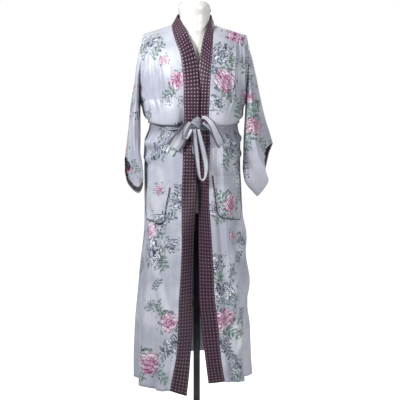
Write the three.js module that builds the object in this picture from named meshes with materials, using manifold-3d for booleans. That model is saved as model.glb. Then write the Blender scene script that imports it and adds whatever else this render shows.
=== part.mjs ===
// A kimono robe worn open on a limbless dress form with its stand.
// Millimetres, +Z up. The front faces -Y. The origin is on the floor under the pole.
// Right and left are the wearer's: the right side of the robe is at -X.
import * as THREE from "three";
import { mergeVertices } from "three/addons/utils/BufferGeometryUtils.js";
import Module from "manifold-3d";

// ---- driving dimensions -------------------------------------------------------------
const clothWall = 2; // thickness of one cloth wall
const seamGap = 0.32; // clear distance between two pieces at a seam
const armholeDrop = 300; // cloth length from the shoulder seam to the underarm
const beltDrop = 392; // cloth length from the shoulder seam to the middle of the belt
const hemDrop = 1315; // cloth length from the shoulder seam to the hem
const lapRoom = 1.4; // between the sleeve's first ring and the edge of the armhole
const neckDrop = -112; // the band's parameter at the centre back of the neck
const poleRadius = 12.3;
const poleTop = 846;
const holeRadius = 3;
const holeDepth = 9;
const holeHeights = [765, 659, 552];
const socketRadius = 26;
const socketBottom = 775;
const socketTop = 847.5;
const baseRadius = 190;
const baseThickness = 12;
const hubRadius = 30;
const hubHeight = 40;
const boreFloor = 8;
const slip = 0.5; // radial room between the pole and what it passes through

// ---- tables: one row for each section -------------------------------------------------
// The front edge is where the panel meets the band; the side is the armhole, then the side seam.
// "turn" is the angle in degrees through which the cloth turns between the two.
const panelColumns = ["drop", "edgeX", "edgeY", "edgeZ", "sideX", "sideY", "sideZ", "turn"];
const frontRightSections = rows(panelColumns, [
  [0, -86, 0, 1499, -184, 0, 1468, 1],
  [55, -80, -45, 1471, -188, -25, 1439, 34],
  [105, -68, -78, 1435, -191, -40, 1402, 50],
  [145, -56, -98, 1405, -194, -47, 1370, 60],
  [195, -47, -116, 1358, -197, -47, 1324, 68],
  [240, -43, -126, 1314, -199, -36, 1284, 78],
  [300, -42, -132, 1255, -198, 0, 1232, 90],
  [335, -41, -132, 1222, -170, 0, 1212, 90],
  [370, -41, -130, 1190, -155, 0, 1190, 90],
  [418, -41, -130, 1142, -155, 0, 1142, 90],
  [455, -44, -140, 1105, -170, 0, 1105, 90],
  [535, -46, -152, 1023, -175, 0, 1022, 90],
  [650, -50, -165, 907, -184, 0, 904, 90],
  [780, -50, -178, 778, -190, 0, 774, 90],
  [915, -54, -188, 644, -207, 0, 639, 90],
  [1000, -60, -195, 556, -215, 0, 551, 90],
  [1100, -63, -202, 458, -225, 0, 451, 90],
  [1185, -68, -210, 374, -229, 0, 366, 90],
  [1250, -80, -220, 308, -231, 0, 298, 90],
  [1315, -92, -225, 245, -231, 0, 230, 90],
]);
const frontLeftSections = rows(panelColumns, [
  [0, 64, 0, 1499, 174, 0, 1464, 1],
  [55, 58, -50, 1465, 177, -25, 1436, 34],
  [105, 56, -84, 1426, 179, -40, 1401, 50],
  [145, 54, -103, 1390, 179, -47, 1370, 60],
  [195, 50, -118, 1350, 178, -47, 1326, 68],
  [240, 48, -127, 1308, 176, -36, 1287, 78],
  [300, 45, -132, 1255, 174, 0, 1235, 90],
  [335, 44, -132, 1222, 152, 0, 1214, 90],
  [370, 43, -130, 1190, 140, 0, 1190, 90],
  [418, 44, -130, 1142, 140, 0, 1142, 90],
  [455, 46, -139, 1105, 150, 0, 1105, 90],
  [535, 44, -151, 1027, 156, 0, 1024, 90],
  [650, 44, -161, 913, 162, 0, 908, 90],
  [780, 52, -173, 787, 170, 0, 778, 90],
  [915, 60, -186, 650, 182, 0, 639, 90],
  [1000, 64, -191, 565, 182, 0, 551, 90],
  [1100, 76, -198, 468, 190, 0, 452, 90],
  [1185, 83, -205, 385, 193, 0, 367, 90],
  [1250, 90, -212, 328, 195, 0, 304, 90],
  [1315, 99, -215, 275, 198, 0, 241, 90],
]);
const centreBackSections = rows(["drop", "x", "y", "z"], [
  [0, -8, 66, 1492],
  [55, -8, 86, 1444],
  [105, -8, 100, 1398],
  [145, -8, 108, 1360],
  [195, -9, 115, 1314],
  [240, -9, 118, 1276],
  [300, -10, 116, 1236],
  [335, -10, 110, 1216],
  [370, -10, 106, 1190],
  [418, -10, 106, 1142],
  [455, -10, 118, 1105],
  [535, -10, 133, 1022],
  [650, -10, 146, 905],
  [780, -8, 155, 776],
  [915, -6, 164, 640],
  [1000, -4, 170, 552],
  [1100, -3, 177, 452],
  [1185, -3, 183, 367],
  [1250, -2, 187, 303],
  [1315, -2, 190, 241],
]);
// The band: its seam edge behind the neck, and its free edge from the centre back to the hem.
const bandColumns = ["drop", "x", "y", "z"];
const neckSeamRight = rows(bandColumns, [
  [-112, -8, 66, 1492],
  [-78, -47, 59, 1494],
  [-42, -76, 34, 1497],
  [0, -86, 0, 1499],
  [55, -80, -45, 1471],
]);
const neckSeamLeft = rows(bandColumns, [
  [-112, -8, 66, 1492],
  [-78, 28, 59, 1494],
  [-42, 55, 34, 1497],
  [0, 64, 0, 1499],
  [55, 58, -50, 1465],
]);
const bandFreeRight = rows(bandColumns, [
  [-112, -6, 58, 1547],
  [-78, -38, 51, 1545],
  [-42, -59, 29, 1540],
  [0, -66, 0, 1532],
  [55, -49, -40, 1502],
  [105, -32, -63, 1469],
  [145, -14, -83, 1431],
  [195, 4, -108, 1370],
  [240, 8, -122, 1322],
  [300, 10, -137, 1255],
  [335, 9, -137, 1222],
  [370, 9, -136, 1190],
  [418, 9, -136, 1142],
  [455, 6, -146, 1105],
  [535, 3, -155, 1023],
  [650, -1, -151, 907],
  [780, -9, -146, 778],
  [915, -12, -157, 644],
  [1000, -13, -167, 556],
  [1100, -15, -181, 456],
  [1185, -20, -193, 369],
  [1250, -26, -207, 294],
  [1315, -34, -220, 224],
]);
const bandFreeLeft = rows(bandColumns, [
  [-112, -6, 58, 1547],
  [-78, 24, 51, 1544],
  [-42, 45, 29, 1538],
  [0, 53, 0, 1529],
  [55, 39, -42, 1498],
  [105, 26, -65, 1462],
  [145, 17, -88, 1420],
  [195, 10, -107, 1372],
  [240, 0, -117, 1316],
  [300, -6, -129, 1255],
  [335, -8, -129, 1222],
  [370, -8, -128, 1190],
  [418, -8, -128, 1142],
  [455, -6, -135, 1105],
  [535, -3, -140, 1027],
  [650, 8, -128, 913],
  [780, 8, -142, 785],
  [915, 9, -161, 646],
  [1000, 10, -173, 559],
  [1100, 18, -187, 461],
  [1185, 28, -198, 379],
  [1250, 35, -208, 322],
  [1315, 42, -215, 268],
]);
// Sleeves: the top fold and the underarm seam from the armhole (0) to the cuff (1), with the
// depth of the front and the back layer off the line between them.
const sleeveColumns = ["along", "topX", "topY", "topZ", "underX", "underY", "underZ", "front", "back"];
const sleeveRightSections = rows(sleeveColumns, [
  [0, -184, 0, 1468, -198, 0, 1232, 48, 48],
  [0.18, -204, 0, 1388, -200, -6, 1180, 66, 54],
  [0.36, -215, 0, 1313, -200, -14, 1130, 74, 58],
  [0.6, -234, 0, 1208, -200, -24, 1060, 78, 60],
  [0.85, -247, 0, 1098, -202, -34, 975, 76, 58],
  [1, -256, 0, 1037, -204, -38, 912, 70, 54],
]);
const sleeveLeftSections = rows(sleeveColumns, [
  [0, 174, 0, 1464, 174, 0, 1235, 48, 48],
  [0.16, 192, 0, 1393, 171, -24, 1178, 52, 56],
  [0.32, 209, 0, 1322, 167, -46, 1118, 50, 60],
  [0.48, 223, 0, 1261, 165, -62, 1058, 46, 62],
  [0.72, 247, 0, 1165, 166, -70, 985, 44, 62],
  [0.84, 260, 0, 1126, 176, -66, 950, 44, 58],
  [1, 272, 0, 1086, 217, -40, 901, 48, 48],
]);
// The cuff's edge, from the top fold round the front layer to the corner and up the back layer.
const cuffColumns = ["x", "y", "z"];
const cuffRightEdge = rows(cuffColumns, [
  [-256, 0, 1037],
  [-237, -48, 1022],
  [-216, -88, 988],
  [-189, -80, 953],
  [-204, -38, 912],
  [-232, 14, 916],
  [-257, 44, 946],
  [-260, 30, 995],
]);
const cuffLeftEdge = rows(cuffColumns, [
  [272, 0, 1086],
  [238, -62, 1062],
  [242, -80, 1000],
  [252, -70, 957],
  [217, -40, 901],
  [222, 22, 935],
  [250, 44, 985],
  [262, 34, 1045],
]);
// Long folds: a line across the panel (0 at the band or centre back, 1 at the side) from one
// drop to another, with the height of its ridge (or depth, below 0) at both ends.
const foldColumns = ["from", "to", "startsAt", "endsAt", "halfWidth", "startHeight", "endHeight"];
const frontRightFolds = rows(foldColumns, [
  [60, 290, 0.92, 0.62, 0.07, -2, -5],
  [150, 335, 0.6, 0.28, 0.06, -2, -5],
  [200, 340, 0.35, 0.12, 0.05, -2, -4],
  [420, 640, 0.38, 0.62, 0.06, -5, -3],
  [425, 560, 0.62, 0.9, 0.05, 5, 4],
  [430, 1315, 0.16, 0.12, 0.06, 3, 7],
  [520, 1315, 0.34, 0.3, 0.07, -2, -9],
  [600, 1315, 0.52, 0.52, 0.08, 2, 8],
  [640, 1315, 0.72, 0.74, 0.07, -2, -8],
]);
const frontLeftFolds = rows(foldColumns, [
  [60, 280, 0.9, 0.66, 0.07, -2, -4],
  [180, 335, 0.55, 0.35, 0.07, -2, -4],
  [420, 700, 0.45, 0.72, 0.06, -5, -3],
  [430, 1315, 0.16, 0.2, 0.06, -3, -8],
  [560, 1315, 0.36, 0.4, 0.08, 2, 8],
  [620, 1315, 0.58, 0.62, 0.07, -2, -8],
  [700, 1315, 0.78, 0.8, 0.07, 2, 6],
]);
const backRightFolds = rows(foldColumns, [
  [90, 330, 0.75, 0.5, 0.08, -2, -5],
  [150, 350, 0.4, 0.25, 0.07, 2, 5],
  [430, 1315, 0.12, 0.16, 0.08, -3, -10],
  [430, 1315, 0.34, 0.38, 0.08, 3, 9],
  [430, 1315, 0.56, 0.6, 0.07, -3, -9],
  [480, 1315, 0.76, 0.79, 0.07, 2, 7],
]);
const backLeftFolds = rows(foldColumns, [
  [90, 330, 0.78, 0.55, 0.08, -2, -5],
  [150, 350, 0.38, 0.2, 0.07, 2, 5],
  [430, 1315, 0.16, 0.14, 0.08, 3, 9],
  [430, 1315, 0.36, 0.35, 0.07, -3, -10],
  [450, 1315, 0.55, 0.57, 0.08, 3, 8],
  [430, 1315, 0.76, 0.76, 0.07, -3, -8],
]);
// Cross folds: the cloth that bags over the belt and the swags under it.
const swagColumns = ["drop", "halfHeight", "startsAt", "endsAt", "height", "sag"];
const frontRightSwags = rows(swagColumns, [
  [452, 13, 0.4, 0.95, 7, 10],
  [486, 15, 0.45, 0.95, -6, 14],
]);
const frontLeftSwags = rows(swagColumns, [
  [452, 14, 0.35, 0.9, 7, 8],
  [488, 15, 0.45, 0.95, -5, 12],
]);
const backSwags = rows(swagColumns, [[456, 15, -0.9, 0.9, 4, 6]]);
// The blouse bags over the belt: how far the cloth stands out and hangs down at each drop.
const blouseBag = rows(["drop", "out", "down"], [
  [300, 0, 0],
  [318, 8, 3],
  [338, 15, 18],
  [351, 17.5, 33],
  [358, 16.5, 38],
  [364, 13, 34],
  [372, 9.5, 14],
  [380, 8, -6],
  [388, 3, -17],
  [396, 0, -16],
  [410, 0, -4],
  [425, 0, 0],
]);
const bagShare = 0.14; // part of a front's width, from the band, over which the bag stands out
const hangFrom = 0.07; // where the bag's hang begins, as part of a front's width
const hangReach = 0.2; // over which it grows to its whole drop
// Patch pockets: corners as panel positions (0 at the band, 1 at the side) and drops.
const pocketRight = { topNear: [0.19, 606], topFar: [0.66, 592], lowNear: [0.3, 738], lowFar: [0.78, 718] };
const pocketLeft = { topNear: [0.07, 572], topFar: [0.74, 578], lowNear: [0.16, 716], lowFar: [0.74, 736] };
const pocketLift = 3.3;
const pipingRadius = 1.5;
const pipingRoom = 1.5; // between the cord and the pocket's edge
const pipingLift = 4.2; // of the cord's middle over the panel's middle
const pocketWall = 1.4;
const facingWall = 1.2;
// The belt passes in front of both bands between these points.
const beltFront = rows(["x", "y"], [
  [-18, -138.5],
  [9, -141.5],
  [28, -138.5],
]);
const beltLift = 4.5;
const belt = { sideZ: 1172, sideHeight: 24, frontZ: 1151, frontHeight: 17 };
const knotCentre = new THREE.Vector3(1, -156.5, 1171);
const knotHalf = new THREE.Vector3(17, 12.5, 18);
// Bow: each ribbon's middle line with its width, and the turn of its face away from the front.
const ribbonColumns = ["x", "y", "z", "width", "twist"];
const tailRight = rows(ribbonColumns, [
  [-24, -155, 1166, 14, 0],
  [-36, -158, 1152, 24, 10],
  [-50, -160, 1130, 36, 6],
  [-64, -159, 1106, 42, 0],
  [-78, -157, 1084, 38, -6],
]);
const smallLoopRight = rows(ribbonColumns, [
  [-21, -166, 1172, 12, 20],
  [-33, -170, 1156, 16, 20],
  [-41, -174, 1138, 16, 30],
  [-42, -175, 1124, 14, 55],
  [-33, -174, 1119, 13, 66],
  [-25, -171, 1131, 13, 45],
  [-17, -167, 1148, 12, 20],
]);
const loopLeft = rows(ribbonColumns, [
  [19, -162, 1188, 12, -15],
  [34, -168, 1186, 16, -10],
  [52, -173, 1166, 22, 0],
  [66, -176, 1136, 27, 4],
  [80, -176, 1106, 30, 8],
  [87, -170, 1094, 30, 8],
  [80, -162, 1103, 28, 8],
  [64, -160, 1128, 22, 6],
  [46, -158, 1152, 15, 0],
  [22, -157, 1170, 11, 0],
]);
const loopLong = rows(ribbonColumns, [
  [-6, -160, 1148, 11, 30],
  [-4, -163, 1118, 12, 20],
  [2, -168, 1066, 12, 10],
  [8, -172, 1012, 13, 20],
  [12, -175, 988, 13, 50],
  [21, -176, 977, 13, 66],
  [30, -175, 989, 13, 50],
  [34, -173, 1022, 13, 24],
  [29, -169, 1062, 13, 10],
  [17, -165, 1108, 12, 10],
  [7, -162, 1148, 11, 20],
]);
const strandMiddle = rows(ribbonColumns, [
  [-15, -152.5, 1149, 9, 0],
  [-13, -153.5, 1124, 9, 6],
  [-11, -156.5, 1090, 9, 10],
  [-8, -159.5, 1064, 8, 16],
]);
// The form: one row for each level, half width and depth to the front and to the back.
const formCentreX = -5.5;
const formSections = rows(["z", "halfWidth", "front", "back", "square"], [
  [848, 148, 96, 100, 2.2],
  [852, 152, 99, 104, 2.2],
  [905, 150, 104, 112, 2.2],
  [960, 146, 106, 114, 2.2],
  [1040, 138, 100, 106, 2.2],
  [1110, 122, 92, 92, 2.2],
  [1170, 113, 88, 84, 2.2],
  [1250, 128, 100, 92, 2.2],
  [1320, 142, 107, 97, 2.2],
  [1350, 148, 102, 97, 2.2],
  [1396, 155, 80, 82, 1.9],
  [1430, 155, 65, 66, 1.6],
  [1449, 147, 60, 57, 1.35],
  [1462, 120, 56, 52, 1.2],
  [1476, 84, 53, 49, 1.25],
  [1488, 64, 51, 51, 1.6],
  [1500, 55, 50, 49, 2],
  [1526, 53, 49, 49, 2],
  [1574, 52, 48, 48, 2],
  [1577, 49, 45, 45, 2],
]);

// ---- materials --------------------------------------------------------------------------
const satin = finish(0xc4c8d8, 0.38);
const satinShade = finish(0xb4b8ca, 0.4);
const dottedBand = finish(0x3d1a2c, 0.5);
const darkFacing = finish(0x2b1420, 0.6);
const whiteForm = finish(0xe9e7e3, 0.25);
const greyMetal = finish(0x4a4a4c, 0.35, 0.7);

function finish(color, roughness, metalness = 0) {
  return new THREE.MeshStandardMaterial({ color, roughness, metalness });
}

// ---- small helpers ------------------------------------------------------------------------
function rows(names, values) {
  return values.map((row) => Object.fromEntries(names.map((name, i) => [name, row[i]])));
}

function smooth(t) {
  const c = Math.min(1, Math.max(0, t));
  return c * c * (3 - 2 * c);
}

const mix = (a, b, t) => a + (b - a) * t;
const vec = (x, y, z) => new THREE.Vector3(x, y, z);
const evenly = (from, to, steps) => Array.from({ length: steps + 1 }, (_, i) => mix(from, to, i / steps));

// The value of one column at a place between rows: a cubic whose slope at each row is the
// weighted mean of the slopes of the two spans that meet there, or 0 where they turn.
function along(table, key, name, at) {
  const last = table.length - 1;
  let i = 0;
  while (i < last - 1 && at > table[i + 1][key]) i += 1;
  const step = (k) => table[k + 1][key] - table[k][key];
  const slope = (k) => (table[k + 1][name] - table[k][name]) / step(k);
  const slopeAt = (k) => {
    if (k === 0) return slope(0);
    if (k === last) return slope(last - 1);
    if (slope(k - 1) * slope(k) <= 0) return 0;
    return (slope(k - 1) * step(k) + slope(k) * step(k - 1)) / (step(k - 1) + step(k));
  };
  const h = step(i);
  const t = (at - table[i][key]) / h;
  const a = table[i][name];
  const b = table[i + 1][name];
  if (t < 0) return a + slopeAt(i) * h * t;
  if (t > 1) return b + slopeAt(i + 1) * h * (t - 1);
  return (
    a * (1 + 2 * t) * (1 - t) ** 2 +
    b * t * t * (3 - 2 * t) +
    h * (slopeAt(i) * t * (1 - t) ** 2 - slopeAt(i + 1) * t * t * (1 - t))
  );
}

const pointAlong = (table, key, at, x = "x", y = "y", z = "z") =>
  vec(along(table, key, x, at), along(table, key, y, at), along(table, key, z, at));

// ---- cloth walls ----------------------------------------------------------------------------
// A sheet is a grid of points with a normal at each; rows run down, columns run across.
function makeSheet(place, down, across) {
  const step = 0.002;
  const points = down.map((v) => across(v).map((u) => place(u, v)));
  const normals = down.map((v) =>
    across(v).map((u) => {
      const du = place(u + step, v).sub(place(u - step, v));
      const dv = place(u, v + 1).sub(place(u, v - 1));
      return du.cross(dv).normalize();
    }),
  );
  return { points, normals };
}

// The solid between a sheet moved out and moved in by half of the wall, with its rims closed.
function wallGeometry(sheet, thickness, { closed = false, lift = 0 } = {}) {
  const { points, normals } = sheet;
  const height = points.length;
  const width = points[0].length;
  const positions = [];
  for (const side of [1, -1]) {
    points.forEach((row, i) =>
      row.forEach((p, j) => {
        const q = p.clone().addScaledVector(normals[i][j], lift + (side * thickness) / 2);
        positions.push(q.x, q.y, q.z);
      }),
    );
  }
  const outer = (i, j) => i * width + (j % width);
  const inner = (i, j) => height * width + outer(i, j);
  const faces = [];
  const quad = (a, b, c, d) => faces.push(a, b, c, a, c, d);
  const spans = closed ? width : width - 1;
  for (let i = 0; i < height - 1; i += 1) {
    for (let j = 0; j < spans; j += 1) {
      quad(outer(i, j), outer(i, j + 1), outer(i + 1, j + 1), outer(i + 1, j));
      quad(inner(i, j), inner(i + 1, j), inner(i + 1, j + 1), inner(i, j + 1));
    }
  }
  const [low, far] = [height - 1, width - 1];
  for (let j = 0; j < spans; j += 1) {
    quad(outer(0, j + 1), outer(0, j), inner(0, j), inner(0, j + 1));
    quad(outer(low, j), outer(low, j + 1), inner(low, j + 1), inner(low, j));
  }
  if (!closed) {
    for (let i = 0; i < low; i += 1) {
      quad(outer(i, 0), outer(i + 1, 0), inner(i + 1, 0), inner(i, 0));
      quad(outer(i + 1, far), outer(i, far), inner(i, far), inner(i + 1, far));
    }
  }
  return solidFrom(positions, faces);
}

// A geometry whose faces point out, whichever way its sheet was walked.
function solidFrom(positions, faces) {
  const at = (k) => vec(positions[3 * k], positions[3 * k + 1], positions[3 * k + 2]);
  let volume = 0;
  for (let i = 0; i < faces.length; i += 3) {
    volume += at(faces[i]).dot(at(faces[i + 1]).cross(at(faces[i + 2])));
  }
  const order = volume > 0 ? faces : faces.slice().reverse();
  const geometry = new THREE.BufferGeometry();
  geometry.setAttribute("position", new THREE.Float32BufferAttribute(positions, 3));
  geometry.setIndex(order);
  return geometry;
}

function pieceOf(name, geometry, material) {
  const mesh = new THREE.Mesh(geometry, material);
  mesh.name = name;
  return mesh;
}

// ---- robe body ------------------------------------------------------------------------------
// A quarter of a cross-section: from a middle point (u = 0) to a side point (u = 1).
function quarter(middle, side, turn, u) {
  const angle = THREE.MathUtils.degToRad(turn);
  const acrossShare = Math.sin(u * angle) / Math.sin(angle);
  const depthShare = (1 - Math.cos(u * angle)) / (1 - Math.cos(angle));
  return vec(
    mix(middle.x, side.x, acrossShare),
    mix(middle.y, side.y, depthShare),
    mix(middle.z, side.z, u),
  );
}

const edgePoint = (table, v) => pointAlong(table, "drop", v, "edgeX", "edgeY", "edgeZ");
const sidePoint = (table, v) => pointAlong(table, "drop", v, "sideX", "sideY", "sideZ");

// How far folds and swags lift the cloth at a place; nothing moves at a seam.
function relief(folds, swags, u, v, swagU = u) {
  const reach = Math.abs(u);
  let height = 0;
  for (const fold of folds) {
    const t = (v - fold.from) / (fold.to - fold.from);
    if (t < 0 || t > 1.02) continue;
    const off = (reach - mix(fold.startsAt, fold.endsAt, t)) / fold.halfWidth;
    const fade = smooth((v - fold.from) / 70) * (fold.to >= hemDrop ? 1 : smooth((fold.to - v) / 70));
    height += mix(fold.startHeight, fold.endHeight, t) * fade * Math.exp(-off * off);
  }
  for (const swag of swags) {
    const middle = (swag.startsAt + swag.endsAt) / 2;
    const half = (swag.endsAt - swag.startsAt) / 2;
    const t = (swagU - middle) / half;
    if (Math.abs(t) > 1) continue;
    const off = (v - swag.drop - swag.sag * (1 - t * t)) / swag.halfHeight;
    height += swag.height * (1 - t * t) ** 1.5 * Math.exp(-off * off);
  }
  const seamFade = smooth((1 - reach) / 0.08);
  return height * seamFade;
}

// Lifts a plain surface along its own normal, away from the body.
function lifted(plain, height) {
  const step = 0.004;
  const normalAt = (u, v) => {
    const du = plain(u + step, v).sub(plain(u - step, v));
    return du.cross(plain(u, v + 2).sub(plain(u, v - 2))).normalize();
  };
  const sign = outward(normalAt(0.5, 800), plain(0.5, 800)) < 0 ? -1 : 1;
  return (u, v) => plain(u, v).addScaledVector(normalAt(u, v), sign * height(u, v));
}

const outward = (normal, p) => normal.x * p.x + normal.y * p.y;

// Moves cloth out from the body's axis and down, by shares of the bag over the belt.
function bagged(point, v, outShare, hangShare) {
  if (v <= blouseBag[0].drop || v >= blouseBag.at(-1).drop) return point;
  const away = vec(point.x, 1.3 * point.y, 0).normalize();
  point.addScaledVector(away, outShare * along(blouseBag, "drop", "out", v));
  point.z -= hangShare * along(blouseBag, "drop", "down", v);
  return point;
}

const frontPlain = (sections) => (u, v) => {
  const turn = along(sections, "drop", "turn", v);
  const point = quarter(edgePoint(sections, v), sidePoint(sections, v), turn, u);
  return bagged(point, v, smooth(u / bagShare), smooth((u - hangFrom) / hangReach));
};

function frontSurface(plain, folds, swags) {
  const height = (u, v) => relief(folds, swags, u, v) * smooth(u / 0.06);
  return lifted(plain, height);
}

const frontRightPlain = frontPlain(frontRightSections);
const frontLeftPlain = frontPlain(frontLeftSections);
const frontRightSurface = frontSurface(frontRightPlain, frontRightFolds, frontRightSwags);
const frontLeftSurface = frontSurface(frontLeftPlain, frontLeftFolds, frontLeftSwags);

// The back: u runs from -1 at the right side to 1 at the left side, 0 at the centre.
const neckShare = 0.443; // where the neckline ends along the top edge
const shoulderTip = (sections) => sidePoint(sections, 0);

function backTop(u) {
  const sections = u < 0 ? frontRightSections : frontLeftSections;
  const neckSeam = u < 0 ? neckSeamRight : neckSeamLeft;
  const reach = Math.abs(u);
  if (reach <= neckShare) return pointAlong(neckSeam, "drop", mix(neckDrop, 0, reach / neckShare));
  const neckPoint = edgePoint(sections, 0);
  return neckPoint.lerp(shoulderTip(sections), (reach - neckShare) / (1 - neckShare));
}

function backPlain(u, v) {
  const sections = u < 0 ? frontRightSections : frontLeftSections;
  const reach = Math.abs(u);
  const middle = pointAlong(centreBackSections, "drop", v);
  const side = sidePoint(sections, v);
  side.y = Math.abs(side.y);
  const point = quarter(middle, side, along(sections, "drop", "turn", v), reach);
  const middleTop = pointAlong(centreBackSections, "drop", 0);
  const topSection = quarter(middleTop, sidePoint(sections, 0), 1, reach);
  const rollOver = 1 - smooth(v / 150);
  return bagged(point.addScaledVector(backTop(u).sub(topSection), rollOver), v, 1, 1);
}

const backHeight = (u, v) => relief(u < 0 ? backRightFolds : backLeftFolds, backSwags, u, v, u);
const backSurface = lifted(backPlain, backHeight);

const armholeLevels = evenly(0, armholeDrop, 10);
const waistLevels = [318, 336, 350, 358, 365, 373, 381, 389, 398, 412, 434, 458, 486];
const skirtLevels = evenly(520, hemDrop, 16);
const bodyLevels = [...armholeLevels, ...waistLevels, ...skirtLevels];
const frontColumns = [0, 0.07, bagShare, 0.17, 0.2, 0.235, ...evenly(0.33, 1, 7)];

function backColumns(v) {
  const even = evenly(-1, 1, 20);
  const top = [
    ...evenly(-1, -neckShare, 5),
    ...evenly(-neckShare, neckShare, 10).slice(1),
    ...evenly(neckShare, 1, 5).slice(1),
  ];
  const share = smooth(v / armholeDrop);
  return even.map((u, j) => mix(top[j], u, share));
}

const frontRight = makeSheet(frontRightSurface, bodyLevels, () => frontColumns);
const frontLeft = makeSheet(frontLeftSurface, bodyLevels, () => frontColumns);
const back = makeSheet(backSurface, bodyLevels, backColumns);

// Turns all of a sheet's normals together, so that most point away from the body's axis.
function faceOut(sheet) {
  const normals = sheet.normals.flat();
  const sum = sheet.points.flat().reduce((total, p, k) => total + outward(normals[k], p), 0);
  if (sum < 0) normals.forEach((normal) => normal.negate());
}
[frontRight, frontLeft, back].forEach(faceOut);

// ---- seams ------------------------------------------------------------------------------------
// Two pieces at a seam share its points and normals, and each draws back by half of the gap.
const columnOf = (sheet, j) => sheet.points.map((_, i) => [i, j]);
const rowOf = (sheet, i) => sheet.points[i].map((_, j) => [i, j]);

function shareNormals(sheetA, placesA, sheetB, placesB) {
  placesA.forEach(([i, j], k) => {
    const [m, n] = placesB[k];
    const shared = sheetA.normals[i][j].clone().add(sheetB.normals[m][n]).normalize();
    sheetA.normals[i][j].copy(shared);
    sheetB.normals[m][n].copy(shared);
  });
}

// Moves an edge into its own sheet, square to the seam and to the normal.
function drawBack(sheet, places, inward, distance = seamGap / 2) {
  const old = places.map(([i, j]) => sheet.points[i][j].clone());
  places.forEach(([i, j], k) => {
    const before = old[Math.max(0, k - 1)];
    const after = old[Math.min(places.length - 1, k + 1)];
    const seam = after.clone().sub(before).normalize();
    const [m, n] = inward(i, j);
    const toInside = sheet.points[m][n].clone().sub(old[k]);
    toInside.addScaledVector(seam, -toInside.dot(seam));
    const normal = sheet.normals[i][j];
    toInside.addScaledVector(normal, -toInside.dot(normal)).normalize();
    sheet.points[i][j].addScaledVector(toInside, distance);
  });
}

const lastColumn = frontColumns.length - 1;
const backLast = 20;
const neckColumn = 5; // the back's column at the right end of the neckline
const armholeCount = armholeLevels.length;

// The shoulder seams are straight, with one normal each.
function shoulderNormal(sections) {
  const line = shoulderTip(sections).sub(edgePoint(sections, 0)).normalize();
  const normal = line.cross(vec(0, 1, 0)).normalize();
  return normal.z < 0 ? normal.negate() : normal;
}

function setNormals(sheet, places, normal) {
  places.forEach(([i, j]) => sheet.normals[i][j].copy(normal));
}
const rightShoulder = shoulderNormal(frontRightSections);
const leftShoulder = shoulderNormal(frontLeftSections);
const underarmRow = armholeCount - 1;
const sideRows = columnOf(frontRight, lastColumn).slice(underarmRow);
shareNormals(frontRight, sideRows, back, columnOf(back, 0).slice(underarmRow));
shareNormals(frontLeft, sideRows, back, columnOf(back, backLast).slice(underarmRow));
setNormals(frontRight, rowOf(frontRight, 0), rightShoulder);
setNormals(frontLeft, rowOf(frontLeft, 0), leftShoulder);
setNormals(back, rowOf(back, 0).slice(0, neckColumn + 1), rightShoulder);
setNormals(back, rowOf(back, 0).slice(backLast - neckColumn), leftShoulder);

// ---- sleeves ------------------------------------------------------------------------------------
const sleeveRings = evenly(0, 1, 11);
const ringCount = 2 * (armholeCount - 1);

function cuffPoint(edge, k) {
  const count = edge.length;
  const at = (k / ringCount) * count;
  const i = Math.floor(at);
  const t = at - i;
  const [a, b, c, d] = [-1, 0, 1, 2].map((o) => edge[(i + o + count) % count]);
  const curve = (name) =>
    b[name] +
    0.5 * t * (c[name] - a[name] + t * (2 * a[name] - 5 * b[name] + 4 * c[name] - d[name] +
      t * (3 * (b[name] - c[name]) + d[name] - a[name])));
  return vec(curve("x"), curve("y"), curve("z"));
}

// A ring of the plain tube: round the front from the top fold to the seam, then up the back.
function sleeveRing(sections, q, k) {
  const top = pointAlong(sections, "along", q, "topX", "topY", "topZ");
  const under = pointAlong(sections, "along", q, "underX", "underY", "underZ");
  const angle = (2 * Math.PI * k) / ringCount;
  const depth = along(sections, "along", Math.sin(angle) >= 0 ? "front" : "back", q);
  const point = top.clone().add(under).multiplyScalar(0.5);
  point.addScaledVector(top.sub(under), Math.cos(angle) / 2);
  point.y -= depth * Math.sin(angle);
  return point;
}

// The armhole as a ring, just outside the edges of the front and the back, which it laps.
function armholeRing(front, frontColumn, backColumn) {
  const ring = [];
  for (let k = 0; k < ringCount; k += 1) {
    const onFront = k < armholeCount;
    const sheet = onFront ? front : back;
    const [i, j] = onFront ? [k, frontColumn] : [ringCount - k, backColumn];
    const point = sheet.points[i][j].clone().addScaledVector(sheet.normals[i][j], clothWall + lapRoom);
    point.x += Math.sign(point.x) * lapRoom;
    ring.push(point);
  }
  return ring;
}

// Sleeve folds run from the armhole to the cuff at a place round the ring.
const sleeveFolds = rows(["round", "halfWidth", "height"], [
  [2.6, 0.8, 4],
  [4.6, 0.9, -3],
  [6.8, 1.2, 2],
  [13, 0.9, -3],
  [15.5, 0.9, 4],
]);

function sleeveSheet(sections, edge, ring) {
  const points = sleeveRings.map((q) =>
    ring.map((point, k) => {
      const plain = sleeveRing(sections, q, k);
      const fromBody = point.clone().sub(sleeveRing(sections, 0, k));
      const toCuff = cuffPoint(edge, k).sub(sleeveRing(sections, 1, k));
      plain.addScaledVector(fromBody, 1 - smooth(q / 0.4));
      return plain.addScaledVector(toCuff, smooth((q - 0.45) / 0.55));
    }),
  );
  points.forEach((row, i) => {
    const q = sleeveRings[i];
    const middle = row.reduce((sum, p) => sum.add(p), vec(0, 0, 0)).divideScalar(ringCount);
    row.forEach((p, k) => {
      for (const fold of sleeveFolds) {
        const off = (k - fold.round) / fold.halfWidth;
        const out = p.clone().sub(middle);
        out.z = 0;
        const fade = smooth(q / 0.3) * (1 - 0.5 * q);
        p.addScaledVector(out.normalize(), fold.height * fade * Math.exp(-off * off));
      }
    });
  });
  return withGridNormals(points, true);
}

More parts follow.
